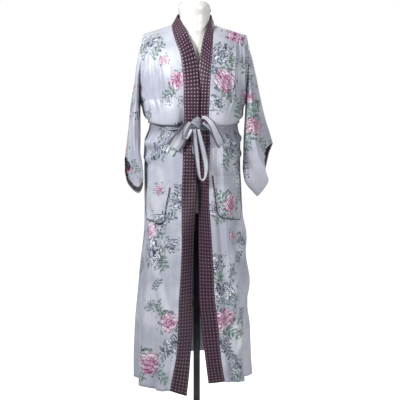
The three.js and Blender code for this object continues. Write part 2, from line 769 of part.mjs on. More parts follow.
// Normals from a grid's own neighbours; those of a closed one are turned away from its middle.
function withGridNormals(points, closed) {
  const height = points.length;
  const width = points[0].length;
  let away = 0;
  const normals = points.map((row, i) => {
    const middle = row.reduce((sum, p) => sum.add(p), vec(0, 0, 0)).divideScalar(width);
    return row.map((p, j) => {
      const before = closed ? (j + width - 1) % width : Math.max(0, j - 1);
      const after = closed ? (j + 1) % width : Math.min(width - 1, j + 1);
      const du = row[after].clone().sub(row[before]);
      const dv = points[Math.min(height - 1, i + 1)][j].clone().sub(points[Math.max(0, i - 1)][j]);
      const normal = du.cross(dv).normalize();
      away += normal.dot(p.clone().sub(middle));
      return normal;
    });
  });
  if (closed && away < 0) normals.flat().forEach((normal) => normal.negate());
  return { points, normals };
}

const rightArmhole = armholeRing(frontRight, lastColumn, 0);
const leftArmhole = armholeRing(frontLeft, lastColumn, backLast);
const sleeveRight = sleeveSheet(sleeveRightSections, cuffRightEdge, rightArmhole);
const sleeveLeft = sleeveSheet(sleeveLeftSections, cuffLeftEdge, leftArmhole);

// The facing inside a cuff: the last stretch of the sleeve, moved inward.
function cuffFacing(sleeve) {
  const rings = sleeve.points.length;
  const shares = [0.42, 0.02]; // of the last span between rings, from the cuff's edge
  const blend = (grid, share) =>
    grid[rings - 1].map((value, k) => value.clone().lerp(grid[rings - 2][k], share));
  const points = shares.map((share) => blend(sleeve.points, share));
  const normals = shares.map((share) => blend(sleeve.normals, share).map((n) => n.normalize()));
  return { points, normals };
}

// ---- band -----------------------------------------------------------------------------------------
const neckLevels = evenly(neckDrop, 0, 5).slice(0, 5);
const bandLevels = [...neckLevels, ...bodyLevels];

function bandSheet(panel, panelSections, neckSeam, freeEdge, bowOut) {
  const points = bandLevels.map((v) => {
    const seam = v < 0 ? pointAlong(neckSeam, "drop", v) : edgePoint(panelSections, v);
    const free = pointAlong(freeEdge, "drop", v);
    const middle = seam.clone().lerp(free, 0.5);
    middle.y -= v > 0 ? bowOut * smooth(v / 300) : 0;
    return [seam, middle, free];
  });
  const sheet = withGridNormals(points, false);
  faceOut(sheet);
  return sheet;
}

const bandRight = bandSheet(frontRight, frontRightSections, neckSeamRight, bandFreeRight, 1.5);
const bandLeft = bandSheet(frontLeft, frontLeftSections, neckSeamLeft, bandFreeLeft, 0.5);
const neckCount = neckLevels.length;
const neckEase = 0.4; // more room round the tight curve of the neck

// The band takes the normals of the panels along its seam.
function joinBand(band, front, backPlaceAt) {
  band.points.forEach((row, i) => {
    const onNeck = i < neckCount;
    const source = onNeck ? back.normals[0][backPlaceAt(i)] : front.normals[i - neckCount][0];
    row[0].copy(onNeck ? back.points[0][backPlaceAt(i)] : front.points[i - neckCount][0]);
    const shared = source.clone().add(band.normals[i][0]).normalize();
    band.normals[i][0].copy(shared);
    source.copy(shared);
  });
}
joinBand(bandRight, frontRight, (i) => 10 - i);
joinBand(bandLeft, frontLeft, (i) => 10 + i);
[bandRight, bandLeft].forEach((band) =>
  band.normals[0].forEach((normal) => {
    normal.x = 0;
    normal.normalize();
  }),
);
back.normals[0][10].copy(bandRight.normals[0][0]);
back.normals[0][neckColumn].copy(frontRight.normals[0][0]);
back.normals[0][backLast - neckColumn].copy(frontLeft.normals[0][0]);

[bandRight, bandLeft].forEach((band) => {
  drawBack(band, columnOf(band, 0), (i, j) => [i, j + 1]);
  drawBack(band, rowOf(band, 0), (i, j) => [i + 1, j]);
  drawBack(band, columnOf(band, 0).slice(0, neckCount + 1), (i, j) => [i, j + 1], neckEase);
});
[frontRight, frontLeft].forEach((sheet) => {
  drawBack(sheet, columnOf(sheet, 0), (i, j) => [i, j + 1]);
  drawBack(sheet, columnOf(sheet, lastColumn), (i, j) => [i, j - 1]);
  drawBack(sheet, rowOf(sheet, 0), (i, j) => [i + 1, j]);
});
drawBack(back, columnOf(back, 0), (i, j) => [i, j + 1]);
drawBack(back, columnOf(back, backLast), (i, j) => [i, j - 1]);
drawBack(back, rowOf(back, 0), (i, j) => [i + 1, j]);

// ---- pockets ---------------------------------------------------------------------------------------
const lerpPair = (a, b, t) => [mix(a[0], b[0], t), mix(a[1], b[1], t)];

// A place on a pocket: s across from the side near the band, t down from its opening.
function pocketPlace(pocket, s, t) {
  const corner = 0.16;
  const near = Math.max(0, corner - Math.min(s, 1 - s)) / corner;
  const lowRound = 1 - 0.14 * near * near * smooth((t - 0.5) / 0.5);
  const top = lerpPair(pocket.topNear, pocket.topFar, s);
  const low = lerpPair(pocket.lowNear, pocket.lowFar, s);
  return lerpPair(top, low, t * lowRound);
}

function pocketSheet(surface, pocket) {
  const place = (s, t) => surface(...pocketPlace(pocket, s, t));
  const step = 0.01;
  const points = evenly(0, 1, 6).map((t) => evenly(0, 1, 8).map((s) => place(s, t)));
  const normals = evenly(0, 1, 6).map((t) =>
    evenly(0, 1, 8).map((s) => {
      const ds = place(s + step, t).sub(place(s - step, t));
      return ds.cross(place(s, t + step).sub(place(s, t - step))).normalize();
    }),
  );
  const sheet = { points, normals };
  faceOut(sheet);
  return sheet;
}

const pocketRightSheet = pocketSheet(frontRightSurface, pocketRight);
const pocketLeftSheet = pocketSheet(frontLeftSurface, pocketLeft);

// Piping: a round cord along the two sides and the bottom of a pocket, just outside its edge.
function pipingGeometry(sheet) {
  const last = sheet.points.length - 1;
  const wide = sheet.points[0].length - 1;
  const places = [
    ...evenly(0, last, last).map((i) => [i, 0]),
    ...evenly(1, wide - 1, wide - 2).map((j) => [last, j]),
    ...evenly(last, 0, last).map((i) => [i, wide]),
  ];
  const inside = sheet.points[Math.round(last / 2)][Math.round(wide / 2)];
  const pointAt = (k) => {
    const [i, j] = places[Math.min(places.length - 1, Math.max(0, k))];
    return sheet.points[i][j].clone();
  };
  const path = places.map(([i, j], k) => {
    const p = pointAt(k);
    const normal = sheet.normals[i][j];
    const away = pointAt(k + 1).sub(pointAt(k - 1)).cross(normal).normalize();
    if (away.dot(p.clone().sub(inside)) < 0) away.negate();
    return p.addScaledVector(away, pipingRadius + pipingRoom).addScaledVector(normal, pipingLift);
  });
  const curve = new THREE.CatmullRomCurve3(path);
  const circle = new THREE.Shape().absarc(0, 0, pipingRadius, 0, 2 * Math.PI);
  return new THREE.ExtrudeGeometry(circle, { steps: 26, curveSegments: 3, extrudePath: curve });
}

// ---- belt and bow ------------------------------------------------------------------------------------
// The belt lies in the hollow under the bag and comes down and forward over the bands.
function beltSheet() {
  const around = [];
  const add = (surface, columns, front) =>
    columns.forEach((u) => {
      const p = surface(u, beltDrop);
      const ahead = surface(u + 0.01, beltDrop).sub(surface(u - 0.01, beltDrop));
      const out = vec(ahead.y, -ahead.x, 0).normalize();
      if (out.x * p.x + out.y * p.y < 0) out.negate();
      const lowered = front ? smooth((0.42 - u) / 0.2) : 0;
      around.push({ p: p.addScaledVector(out, beltLift), lowered });
    });
  add(frontRightPlain, evenly(0, 0.95, 12), true);
  add(backPlain, evenly(-0.97, 0.97, 24), false);
  add(frontLeftPlain, evenly(0.95, 0, 12), true);
  beltFront.slice().reverse().forEach(({ x, y }) => around.push({ p: vec(x, y, 0), lowered: 1 }));
  const points = [0.5, -0.5].map((side) =>
    around.map(({ p, lowered }) => {
      const height = mix(belt.sideHeight, belt.frontHeight, lowered);
      return vec(p.x, p.y, mix(belt.sideZ, belt.frontZ, lowered) + side * height);
    }),
  );
  return withGridNormals(points, true);
}

// A ribbon: a strip carried along a middle line. Its width lies square to the line, in the
// plane of the front, and "twist" turns it from there towards the viewer.
function ribbonGeometry(table, steps, thickness = clothWall) {
  const line = table.map((row, i) => ({ ...row, at: i }));
  const places = evenly(0, table.length - 1, steps);
  const middle = places.map((at) => pointAlong(line, "at", at));
  const headings = middle.map((_, i) =>
    middle[Math.min(steps, i + 1)].clone().sub(middle[Math.max(0, i - 1)]).normalize(),
  );
  const carry = 0.35; // how much of the last width direction each step keeps
  let flat = null;
  const points = middle.map((p, i) => {
    const twist = THREE.MathUtils.degToRad(along(line, "at", "twist", places[i]));
    const square = headings[i].clone().cross(vec(0, 1, 0));
    if (flat && square.dot(flat) < 0) square.negate();
    flat = flat ? square.addScaledVector(flat, carry).normalize() : square.normalize();
    const half = flat.clone().multiplyScalar(Math.cos(twist)).add(vec(0, Math.sin(twist), 0));
    half.multiplyScalar(along(line, "at", "width", places[i]) / 2);
    return [p.clone().sub(half), p.clone(), p.clone().add(half)];
  });
  const normals = points.map((row, i) => {
    const normal = headings[i].clone().cross(row[2].clone().sub(row[0])).normalize();
    return row.map(() => normal);
  });
  return wallGeometry({ points, normals }, thickness);
}

function knotGeometry() {
  const geometry = new THREE.SphereGeometry(1, 16, 10);
  const places = geometry.attributes.position;
  for (let i = 0; i < places.count; i += 1) {
    const p = vec(places.getX(i), places.getY(i), places.getZ(i));
    const waist = 1 - 0.12 * (p.x ** 3 - 3 * p.x * p.z ** 2);
    p.multiply(knotHalf).multiplyScalar(waist).add(knotCentre);
    places.setXYZ(i, p.x, p.y, p.z);
  }
  return geometry;
}

// ---- form and stand -------------------------------------------------------------------------------------
function formGeometry() {
  const around = 32;
  const rings = formSections.map((row) =>
    Array.from({ length: around }, (_, k) => {
      const angle = (2 * Math.PI * k) / around;
      const power = 2 / row.square;
      const shape = (c) => Math.sign(c) * Math.abs(c) ** power;
      const depth = Math.sin(angle) < 0 ? row.front : row.back;
      return vec(formCentreX + row.halfWidth * shape(Math.cos(angle)), depth * shape(Math.sin(angle)), row.z);
    }),
  );
  const positions = rings.flat().flatMap((p) => [p.x, p.y, p.z]);
  const faces = [];
  const last = rings.length - 1;
  for (let i = 0; i < last; i += 1) {
    for (let k = 0; k < around; k += 1) {
      const next = (k + 1) % around;
      const [a, b] = [i * around + k, i * around + next];
      faces.push(a, b, b + around, a, b + around, a + around);
    }
  }
  for (const [i, flip] of [[0, true], [last, false]]) {
    const centre = positions.length / 3;
    positions.push(formCentreX, 0, formSections[i].z);
    for (let k = 0; k < around; k += 1) {
      const [a, b] = [i * around + k, i * around + ((k + 1) % around)];
      faces.push(...(flip ? [centre, b, a] : [centre, a, b]));
    }
  }
  return solidFrom(positions, faces);
}

function turned(profile, segments = 32) {
  const points = profile.map(([radius, z]) => new THREE.Vector2(radius, z));
  const geometry = new THREE.LatheGeometry(points, segments);
  return geometry.rotateX(Math.PI / 2);
}

const wasm = await Module();
wasm.setup();

function toManifold(geometry) {
  const bare = geometry.clone();
  bare.deleteAttribute("normal");
  bare.deleteAttribute("uv");
  const merged = mergeVertices(bare, 1e-4);
  return new wasm.Manifold(
    new wasm.Mesh({
      numProp: 3,
      vertProperties: new Float32Array(merged.attributes.position.array),
      triVerts: new Uint32Array(merged.index.array),
    }),
  );
}

function fromManifold(solid) {
  const mesh = solid.getMesh();
  const geometry = new THREE.BufferGeometry();
  geometry.setAttribute("position", new THREE.Float32BufferAttribute(mesh.vertProperties, 3));
  geometry.setIndex(Array.from(mesh.triVerts));
  return geometry;
}

// The pole is drilled from its front right for the pin that sets the height.
function poleGeometry() {
  const length = poleTop - boreFloor - seamGap;
  const bar = new THREE.CylinderGeometry(poleRadius, poleRadius, length, 28).rotateX(Math.PI / 2);
  bar.translate(0, 0, boreFloor + seamGap + length / 2);
  let solid = toManifold(bar);
  for (const z of holeHeights) {
    const drill = new THREE.CylinderGeometry(holeRadius, holeRadius, 2 * holeDepth, 12);
    drill.translate(0, -poleRadius, 0).rotateZ(-Math.PI / 4).translate(0, 0, z);
    solid = solid.subtract(toManifold(drill));
  }
  return fromManifold(solid);
}

function makeStand() {
  const bore = poleRadius + slip;
  const base = turned([
    [0, 0],
    [baseRadius, 0],
    [baseRadius, baseThickness - 4],
    [baseRadius - 4, baseThickness],
    [hubRadius + 6, baseThickness],
    [hubRadius, baseThickness + 6],
    [hubRadius - 4, hubHeight],
    [bore, hubHeight],
    [bore, boreFloor],
    [0, boreFloor],
  ], 36);
  const socket = turned([
    [bore, socketBottom],
    [socketRadius - 4, socketBottom],
    [socketRadius, socketBottom + 4],
    [socketRadius, socketTop],
    [bore, socketTop],
    [bore, socketBottom],
  ]);
  const group = new THREE.Group();
  group.add(
    pieceOf("form_torso", formGeometry(), whiteForm),
    pieceOf("form_socket", socket, greyMetal),
    pieceOf("stand_pole", poleGeometry(), greyMetal),
    pieceOf("stand_base", base, greyMetal),
  );
  return group;
}

// ---- assembly -----------------------------------------------------------------------------------------------
function makeRobe() {
  const facing = { closed: true, lift: -(clothWall / 2 + seamGap + 1) };
  const group = new THREE.Group();
  const add = (name, geometry, material) => group.add(pieceOf(name, geometry, material));
  add("front_right", wallGeometry(frontRight, clothWall), satin);
  add("front_left", wallGeometry(frontLeft, clothWall), satin);
  add("back", wallGeometry(back, clothWall), satin);
  add("sleeve_right", wallGeometry(sleeveRight, clothWall, { closed: true }), satin);
  add("sleeve_left", wallGeometry(sleeveLeft, clothWall, { closed: true }), satin);
  add("cuff_facing_right", wallGeometry(cuffFacing(sleeveRight), facingWall, facing), darkFacing);
  add("cuff_facing_left", wallGeometry(cuffFacing(sleeveLeft), facingWall, facing), darkFacing);
  add("band_right", wallGeometry(bandRight, clothWall), dottedBand);
  add("band_left", wallGeometry(bandLeft, clothWall), dottedBand);
  add("pocket_right", wallGeometry(pocketRightSheet, pocketWall, { lift: pocketLift }), satin);
  add("pocket_left", wallGeometry(pocketLeftSheet, pocketWall, { lift: pocketLift }), satin);
  add("pocket_piping_right", pipingGeometry(pocketRightSheet), darkFacing);
  add("pocket_piping_left", pipingGeometry(pocketLeftSheet), darkFacing);
  add("belt", wallGeometry(beltSheet(), clothWall, { closed: true }), satinShade);
  add("belt_knot", knotGeometry(), satinShade);
  add("bow_tail_right", ribbonGeometry(tailRight, 10), satinShade);
  add("bow_small_loop_right", ribbonGeometry(smallLoopRight, 20), satinShade);
  add("bow_loop_left", ribbonGeometry(loopLeft, 28), satinShade);
  add("bow_loop_long", ribbonGeometry(loopLong, 32), satinShade);
  add("bow_strand", ribbonGeometry(strandMiddle, 10), satinShade);
  return group;
}

const model = new THREE.Group();
model.name = "kimono_robe_on_form";
model.add(makeRobe(), makeStand());

export default model;
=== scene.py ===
import bpy
import numpy as np
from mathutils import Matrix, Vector


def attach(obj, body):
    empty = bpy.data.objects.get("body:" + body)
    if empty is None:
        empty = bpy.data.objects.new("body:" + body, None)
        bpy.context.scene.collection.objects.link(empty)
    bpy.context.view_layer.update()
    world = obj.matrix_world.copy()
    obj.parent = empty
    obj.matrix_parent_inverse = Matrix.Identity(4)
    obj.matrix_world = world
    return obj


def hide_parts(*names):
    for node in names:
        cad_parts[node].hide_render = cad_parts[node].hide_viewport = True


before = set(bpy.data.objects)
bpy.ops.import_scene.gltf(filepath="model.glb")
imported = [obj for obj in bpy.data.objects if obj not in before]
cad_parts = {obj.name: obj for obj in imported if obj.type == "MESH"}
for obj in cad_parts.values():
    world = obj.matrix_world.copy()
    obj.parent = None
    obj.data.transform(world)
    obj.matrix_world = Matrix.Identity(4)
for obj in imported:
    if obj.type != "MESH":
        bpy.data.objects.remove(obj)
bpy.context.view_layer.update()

# A kimono robe on a dress form. Sizes are in millimetres, the front faces -Y, right is at -X.
mm = 0.001
clothWall = 1.7
neckShare, neckDrop, hemDrop = 0.443, -112, 1315


def table(names, rows):
    return dict(zip(names.split(), np.array(rows, float).T))


frontRightSections = table("drop edgeX edgeY edgeZ sideX sideY sideZ turn", [
    [0, -86, 0, 1499, -184, 0, 1468, 1], [55, -80, -45, 1471, -188, -25, 1439, 34],
    [105, -68, -78, 1435, -191, -40, 1402, 50], [145, -56, -98, 1405, -194, -47, 1370, 60],
    [195, -47, -116, 1358, -197, -47, 1324, 68], [240, -43, -126, 1314, -199, -36, 1284, 78],
    [300, -42, -132, 1255, -198, 0, 1232, 90], [335, -41, -132, 1222, -177, 0, 1212, 90],
    [370, -41, -130, 1190, -165, 0, 1190, 90], [418, -41, -130, 1142, -168, 0, 1142, 90],
    [455, -44, -140, 1105, -182, 0, 1105, 90], [535, -46, -152, 1023, -186, 0, 1022, 90],
    [650, -50, -165, 907, -187, 0, 904, 90], [780, -50, -178, 778, -190, 0, 774, 90],
    [915, -54, -188, 644, -207, 0, 639, 90], [1000, -60, -195, 556, -215, 0, 551, 90],
    [1100, -63, -202, 458, -225, 0, 451, 90], [1185, -68, -210, 374, -229, 0, 366, 90],
    [1250, -80, -220, 308, -231, 0, 298, 90], [1315, -92, -225, 245, -231, 0, 230, 90],
])
frontLeftSections = table("drop edgeX edgeY edgeZ sideX sideY sideZ turn", [
    [0, 64, 0, 1499, 174, 0, 1464, 1], [55, 58, -50, 1465, 177, -25, 1436, 34],
    [105, 56, -84, 1426, 179, -40, 1401, 50], [145, 54, -103, 1390, 179, -47, 1370, 60],
    [195, 50, -118, 1350, 178, -47, 1326, 68], [240, 48, -127, 1308, 176, -36, 1287, 78],
    [300, 45, -132, 1255, 174, 0, 1235, 90], [335, 44, -132, 1222, 152, 0, 1214, 90],
    [370, 43, -130, 1190, 146, 0, 1190, 90], [418, 44, -130, 1142, 147, 0, 1142, 90],
    [455, 46, -139, 1105, 156, 0, 1105, 90], [535, 44, -151, 1027, 156, 0, 1024, 90],
    [650, 44, -161, 913, 162, 0, 908, 90], [780, 52, -173, 787, 170, 0, 778, 90],
    [915, 60, -186, 650, 182, 0, 639, 90], [1000, 64, -191, 565, 182, 0, 551, 90],
    [1100, 76, -198, 468, 190, 0, 452, 90], [1185, 83, -205, 385, 193, 0, 367, 90],
    [1250, 90, -212, 328, 195, 0, 304, 90], [1315, 99, -215, 275, 198, 0, 241, 90],
])
centreBackSections = table("drop x y z", [
    [0, -8, 66, 1492], [55, -8, 86, 1444], [105, -8, 100, 1398], [145, -8, 108, 1360], [195, -9, 115, 1314],
    [240, -9, 118, 1276], [300, -10, 116, 1236], [335, -10, 110, 1216], [370, -10, 106, 1190],
    [418, -10, 106, 1142], [455, -10, 118, 1105], [535, -10, 133, 1022], [650, -10, 146, 905],
    [780, -8, 155, 776], [915, -6, 164, 640], [1000, -4, 170, 552], [1100, -3, 177, 452],
    [1185, -3, 183, 367], [1250, -2, 187, 303], [1315, -2, 190, 241],
])
neckSeamRight = table("drop x y z", [
    [-112, -8, 66, 1492], [-78, -47, 59, 1494], [-42, -76, 34, 1497], [0, -86, 0, 1499],
    [55, -80, -45, 1471],
])
neckSeamLeft = table("drop x y z", [
    [-112, -8, 66, 1492], [-78, 28, 59, 1494], [-42, 55, 34, 1497], [0, 64, 0, 1499], [55, 58, -50, 1465],
])


def smooth(t):
    c = np.clip(t, 0, 1)
    return c * c * (3 - 2 * c)


# A cubic through the rows of a column; its slope at a row is the weighted mean of both spans'.
def along(rows, key, name, at):
    x, y = rows[key], rows[name]
    at = np.asarray(at, float)
    step = np.diff(x)
    rise = np.diff(y) / step
    slope = np.concatenate([rise[:1], np.zeros(len(x) - 2), rise[-1:]])
    mean = (rise[:-1] * step[1:] + rise[1:] * step[:-1]) / (step[:-1] + step[1:])
    slope[1:-1] = np.where(rise[:-1] * rise[1:] <= 0, 0, mean)
    i = np.clip(np.searchsorted(x, at) - 1, 0, len(step) - 1)
    h = step[i]
    t = (at - x[i]) / h
    value = y[i] * (1 + 2 * t) * (1 - t) ** 2 + y[i + 1] * t * t * (3 - 2 * t)
    value += h * (slope[i] * t * (1 - t) ** 2 - slope[i + 1] * t * t * (1 - t))
    value = np.where(t < 0, y[i] + slope[i] * h * t, value)
    return np.where(t > 1, y[i + 1] + slope[i + 1] * h * (t - 1), value)


def placeAlong(rows, key, at, names=("x", "y", "z")):
    return np.stack([along(rows, key, name, at) for name in names], axis=-1)


def edgePoint(rows, v):
    return placeAlong(rows, "drop", v, ("edgeX", "edgeY", "edgeZ"))


def sidePoint(rows, v):
    return placeAlong(rows, "drop", v, ("sideX", "sideY", "sideZ"))


def unit(a):
    return a / np.maximum(np.linalg.norm(a, axis=-1, keepdims=True), 1e-9)


# A quarter of a section: x follows sin(u A) / sin A, y (1 - cos u A) / (1 - cos A), z is even.
def quarter(middle, side, turn, u):
    angle = np.radians(turn)
    share = np.stack([
        np.sin(u * angle) / np.sin(angle),
        (1 - np.cos(u * angle)) / (1 - np.cos(angle)),
        u + 0 * angle,
    ], axis=-1)
    return middle + (side - middle) * share


# Folds are ridges with a bell-shaped section; swags are the same across, hanging in the middle.
def relief(folds, swags, u, v):
    reach = np.abs(u)
    height = np.zeros(np.broadcast(u, v).shape)
    for k in range(len(folds["from"])):
        row = {name: column[k] for name, column in folds.items()}
        t = (v - row["from"]) / (row["to"] - row["from"])
        off = (reach - row["startsAt"] - (row["endsAt"] - row["startsAt"]) * t) / row["halfWidth"]
        fade = smooth((v - row["from"]) / 70)
        if row["to"] < hemDrop:
            fade = fade * smooth((row["to"] - v) / 70)
        inside = (t >= 0) & (t <= 1.02)
        size = row["startHeight"] + (row["endHeight"] - row["startHeight"]) * t
        height = height + np.where(inside, size * fade * np.exp(-off * off), 0)
    for k in range(len(swags["drop"])):
        row = {name: column[k] for name, column in swags.items()}
        middle, half = (row["startsAt"] + row["endsAt"]) / 2, (row["endsAt"] - row["startsAt"]) / 2
        t = np.clip((u - middle) / half, -1, 1)
        off = (v - row["drop"] - row["sag"] * (1 - t * t)) / row["halfHeight"]
        height = height + row["height"] * (1 - t * t) ** 1.5 * np.exp(-off * off)
    return height * smooth((1 - reach) / 0.08)


# Lifts a surface along its own normal, away from the body.
def lifted(plain, height):
    def normalAt(u, v):
        du = plain(u + 0.004, v) - plain(u - 0.004, v)
        return unit(np.cross(du, plain(u, v + 2) - plain(u, v - 2)))

    probe = (np.array([0.5]), np.array([800.0]))
    sign = np.sign((normalAt(*probe) * plain(*probe))[0, :2].sum())
    return lambda u, v: plain(u, v) + normalAt(u, v) * (sign * height(u, v))[..., None]


bagShare, hangFrom, hangReach = 0.1, -0.05, 0.17
blouseBag = table("drop out down", [
    [300, 0, 0], [318, 8, 3], [338, 15, 18], [351, 17.5, 33], [358, 16.5, 38], [364, 13, 34],
    [372, 9.5, 14], [380, 8, -6], [388, 3, -17], [396, 0, -16], [410, 0, -4], [425, 0, 0],
])


# Between the first and last drop of the bag the cloth moves out from the body and down.
def bagged(point, v, outShare, hangShare):
    inside = (v > blouseBag["drop"][0]) & (v < blouseBag["drop"][-1])
    away = unit(point * np.array([1, 1.3, 0]))
    out = np.where(inside, outShare * along(blouseBag, "drop", "out", v), 0)
    down = np.where(inside, hangShare * along(blouseBag, "drop", "down", v), 0)
    return point + away * out[..., None] - np.stack([0 * down, 0 * down, down], axis=-1)


# The bag hangs less towards the side seam.
def sideHang(u):
    return 1 - 0.55 * smooth((np.abs(u) - 0.35) / 0.6)


def frontPlain(rows):
    def plain(u, v):
        u, v = np.broadcast_arrays(u, v)
        point = quarter(edgePoint(rows, v), sidePoint(rows, v), along(rows, "drop", "turn", v), u)
        return bagged(point, v, smooth(u / bagShare), smooth((u - hangFrom) / hangReach) * sideHang(u))
    return plain


def joined(*tables):
    return {name: np.concatenate([t[name] for t in tables]) for name in tables[0]}


frontRightFolds = table("from to startsAt endsAt halfWidth startHeight endHeight", [
    [60, 290, 0.92, 0.62, 0.07, -2, -5], [150, 335, 0.6, 0.28, 0.06, -2, -5],
    [200, 340, 0.35, 0.12, 0.05, -2, -4], [420, 640, 0.38, 0.62, 0.06, -5, -3],
    [425, 560, 0.62, 0.9, 0.05, 5, 4], [430, 1315, 0.16, 0.12, 0.06, 3, 7],
    [520, 1315, 0.34, 0.3, 0.07, -3, -13], [600, 1315, 0.52, 0.52, 0.08, 3, 11],
    [640, 1315, 0.72, 0.74, 0.07, -3, -12],
])
frontLeftFolds = table("from to startsAt endsAt halfWidth startHeight endHeight", [
    [60, 280, 0.9, 0.66, 0.07, -2, -4], [180, 335, 0.55, 0.35, 0.07, -2, -4],
    [420, 700, 0.45, 0.72, 0.06, -5, -3], [430, 1315, 0.16, 0.2, 0.06, -4, -11],
    [560, 1315, 0.36, 0.4, 0.08, 3, 12], [620, 1315, 0.58, 0.62, 0.07, -4, -14],
    [700, 1315, 0.78, 0.8, 0.07, 3, 10],
])
backRightFolds = table("from to startsAt endsAt halfWidth startHeight endHeight", [
    [90, 330, 0.75, 0.5, 0.08, -2, -5], [150, 350, 0.4, 0.25, 0.07, 2, 5],
    [430, 1315, 0.12, 0.16, 0.08, -3, -10], [430, 1315, 0.34, 0.38, 0.08, 3, 9],
    [430, 1315, 0.56, 0.6, 0.07, -3, -9], [480, 1315, 0.76, 0.79, 0.07, 2, 7],
])
backLeftFolds = table("from to startsAt endsAt halfWidth startHeight endHeight", [
    [90, 330, 0.78, 0.55, 0.08, -2, -5], [150, 350, 0.38, 0.2, 0.07, 2, 5],
    [430, 1315, 0.16, 0.14, 0.08, 3, 9], [430, 1315, 0.36, 0.35, 0.07, -3, -10],
    [450, 1315, 0.55, 0.57, 0.08, 3, 8], [430, 1315, 0.76, 0.76, 0.07, -3, -8],
])
frontRightSwags = table("drop halfHeight startsAt endsAt height sag", [
    [450, 9, 0.3, 0.97, 9, 16], [474, 10, 0.35, 0.97, -8, 20], [498, 12, 0.45, 0.97, 7, 22],
    [520, 12, 0.5, 0.97, -5, 20],
])
frontLeftSwags = table("drop halfHeight startsAt endsAt height sag", [
    [440, 11, 0.3, 0.9, 12, 14], [470, 9, 0.35, 0.92, -9, 16], [496, 12, 0.45, 0.95, 6, 14],
    [518, 12, 0.5, 0.95, -5, 12],
])
backSwags = table("drop halfHeight startsAt endsAt height sag", [
    [456, 15, -0.9, 0.9, 4, 6],
])
# Finer creases, of uneven width and depth, on top of the large folds.
creaseNames = "from to startsAt endsAt halfWidth startHeight endHeight"
frontRightCreases = table(creaseNames, [
    [10, 250, 0.72, 0.5, 0.035, -2, -5], [30, 345, 0.84, 0.74, 0.035, 4, 6],
    [90, 345, 0.5, 0.26, 0.03, 3, 6], [120, 352, 0.68, 0.4, 0.03, -3, -6],
    [210, 352, 0.9, 0.66, 0.035, -2, -6], [160, 352, 0.24, 0.12, 0.025, 2, 5],
    [240, 352, 0.62, 0.5, 0.025, 2, 5], [270, 352, 0.42, 0.3, 0.022, -1, -5],
    [400, 520, 0.22, 0.34, 0.022, 5, 2], [400, 600, 0.42, 0.56, 0.022, -6, -2],
    [402, 560, 0.6, 0.72, 0.025, 5, 2], [402, 700, 0.8, 0.9, 0.03, -5, -2],
    [430, 1315, 0.24, 0.22, 0.03, 1, 5], [760, 1315, 0.44, 0.42, 0.035, 1, -5],
    [820, 1315, 0.62, 0.63, 0.03, 1, -5], [900, 1315, 0.86, 0.84, 0.04, 1, 6],
    [700, 1315, 0.06, 0.05, 0.025, 0, -4], [660, 1060, 0.6, 0.1, 0.045, -9, -10],
    [660, 1080, 0.7, 0.2, 0.05, 7, 8],
])
frontLeftCreases = table(creaseNames, [
    [20, 260, 0.75, 0.6, 0.03, -3, -5], [60, 345, 0.62, 0.4, 0.03, 3, 6], [40, 352, 0.88, 0.76, 0.03, 4, 6],
    [170, 352, 0.34, 0.18, 0.028, 2, -6], [230, 352, 0.74, 0.54, 0.025, -2, 6],
    [260, 352, 0.5, 0.3, 0.025, -1, -6], [402, 560, 0.24, 0.4, 0.022, 6, 2],
    [400, 650, 0.5, 0.62, 0.025, -6, -2], [405, 600, 0.74, 0.86, 0.03, 6, 2],
    [430, 1315, 0.26, 0.3, 0.03, 1, 5], [800, 1315, 0.5, 0.5, 0.03, 1, -6],
    [760, 1315, 0.68, 0.7, 0.035, 1, 5], [900, 1315, 0.9, 0.9, 0.03, 0, -5],
    [700, 1315, 0.05, 0.07, 0.025, 0, 4], [640, 1010, 0.95, 0.2, 0.06, -10, -7],
    [720, 1090, 0.97, 0.16, 0.06, 9, 8], [800, 1170, 0.97, 0.14, 0.06, -11, -8],
    [880, 1250, 0.97, 0.22, 0.06, 10, 8], [980, 1300, 0.97, 0.4, 0.05, -9, -6],
])
backCreases = table(creaseNames, [
    [60, 340, 0.6, 0.35, 0.03, 2, 3], [120, 345, 0.88, 0.72, 0.03, -2, -3],
    [180, 350, 0.1, 0.08, 0.03, -1, -3], [402, 640, 0.06, 0.05, 0.022, 3, 1],
    [400, 560, 0.24, 0.25, 0.02, -3, -1], [402, 600, 0.46, 0.47, 0.025, 3, 1],
    [400, 700, 0.68, 0.7, 0.025, -3, -1], [404, 620, 0.88, 0.88, 0.025, 3, 1],
    [760, 1315, 0.25, 0.27, 0.03, 0.5, 3], [820, 1315, 0.47, 0.49, 0.03, 0.5, -3],
    [700, 1315, 0.67, 0.68, 0.035, 0.5, 4], [860, 1315, 0.88, 0.9, 0.03, 0.5, -4],
])


def frontSurface(plain, folds, swags):
    return lifted(plain, lambda u, v: relief(folds, swags, u, v) * smooth(u / 0.06))


rightPlain, leftPlain = frontPlain(frontRightSections), frontPlain(frontLeftSections)
rightSurface = frontSurface(rightPlain, joined(frontRightFolds, frontRightCreases), frontRightSwags)
leftSurface = frontSurface(leftPlain, joined(frontLeftFolds, frontLeftCreases), frontLeftSwags)


def bySide(u, right, left):
    return np.where((u < 0)[..., None], right, left)


def backTop(u):
    reach = np.abs(u)
    onNeck = neckDrop * (1 - np.minimum(reach / neckShare, 1))
    neck = bySide(u, placeAlong(neckSeamRight, "drop", onNeck), placeAlong(neckSeamLeft, "drop", onNeck))
    zero = 0 * u
    point = bySide(u, edgePoint(frontRightSections, zero), edgePoint(frontLeftSections, zero))
    tip = bySide(u, sidePoint(frontRightSections, zero), sidePoint(frontLeftSections, zero))
    share = np.clip((reach - neckShare) / (1 - neckShare), 0, 1.02)[..., None]
    return np.where((reach <= neckShare)[..., None], neck, point + (tip - point) * share)


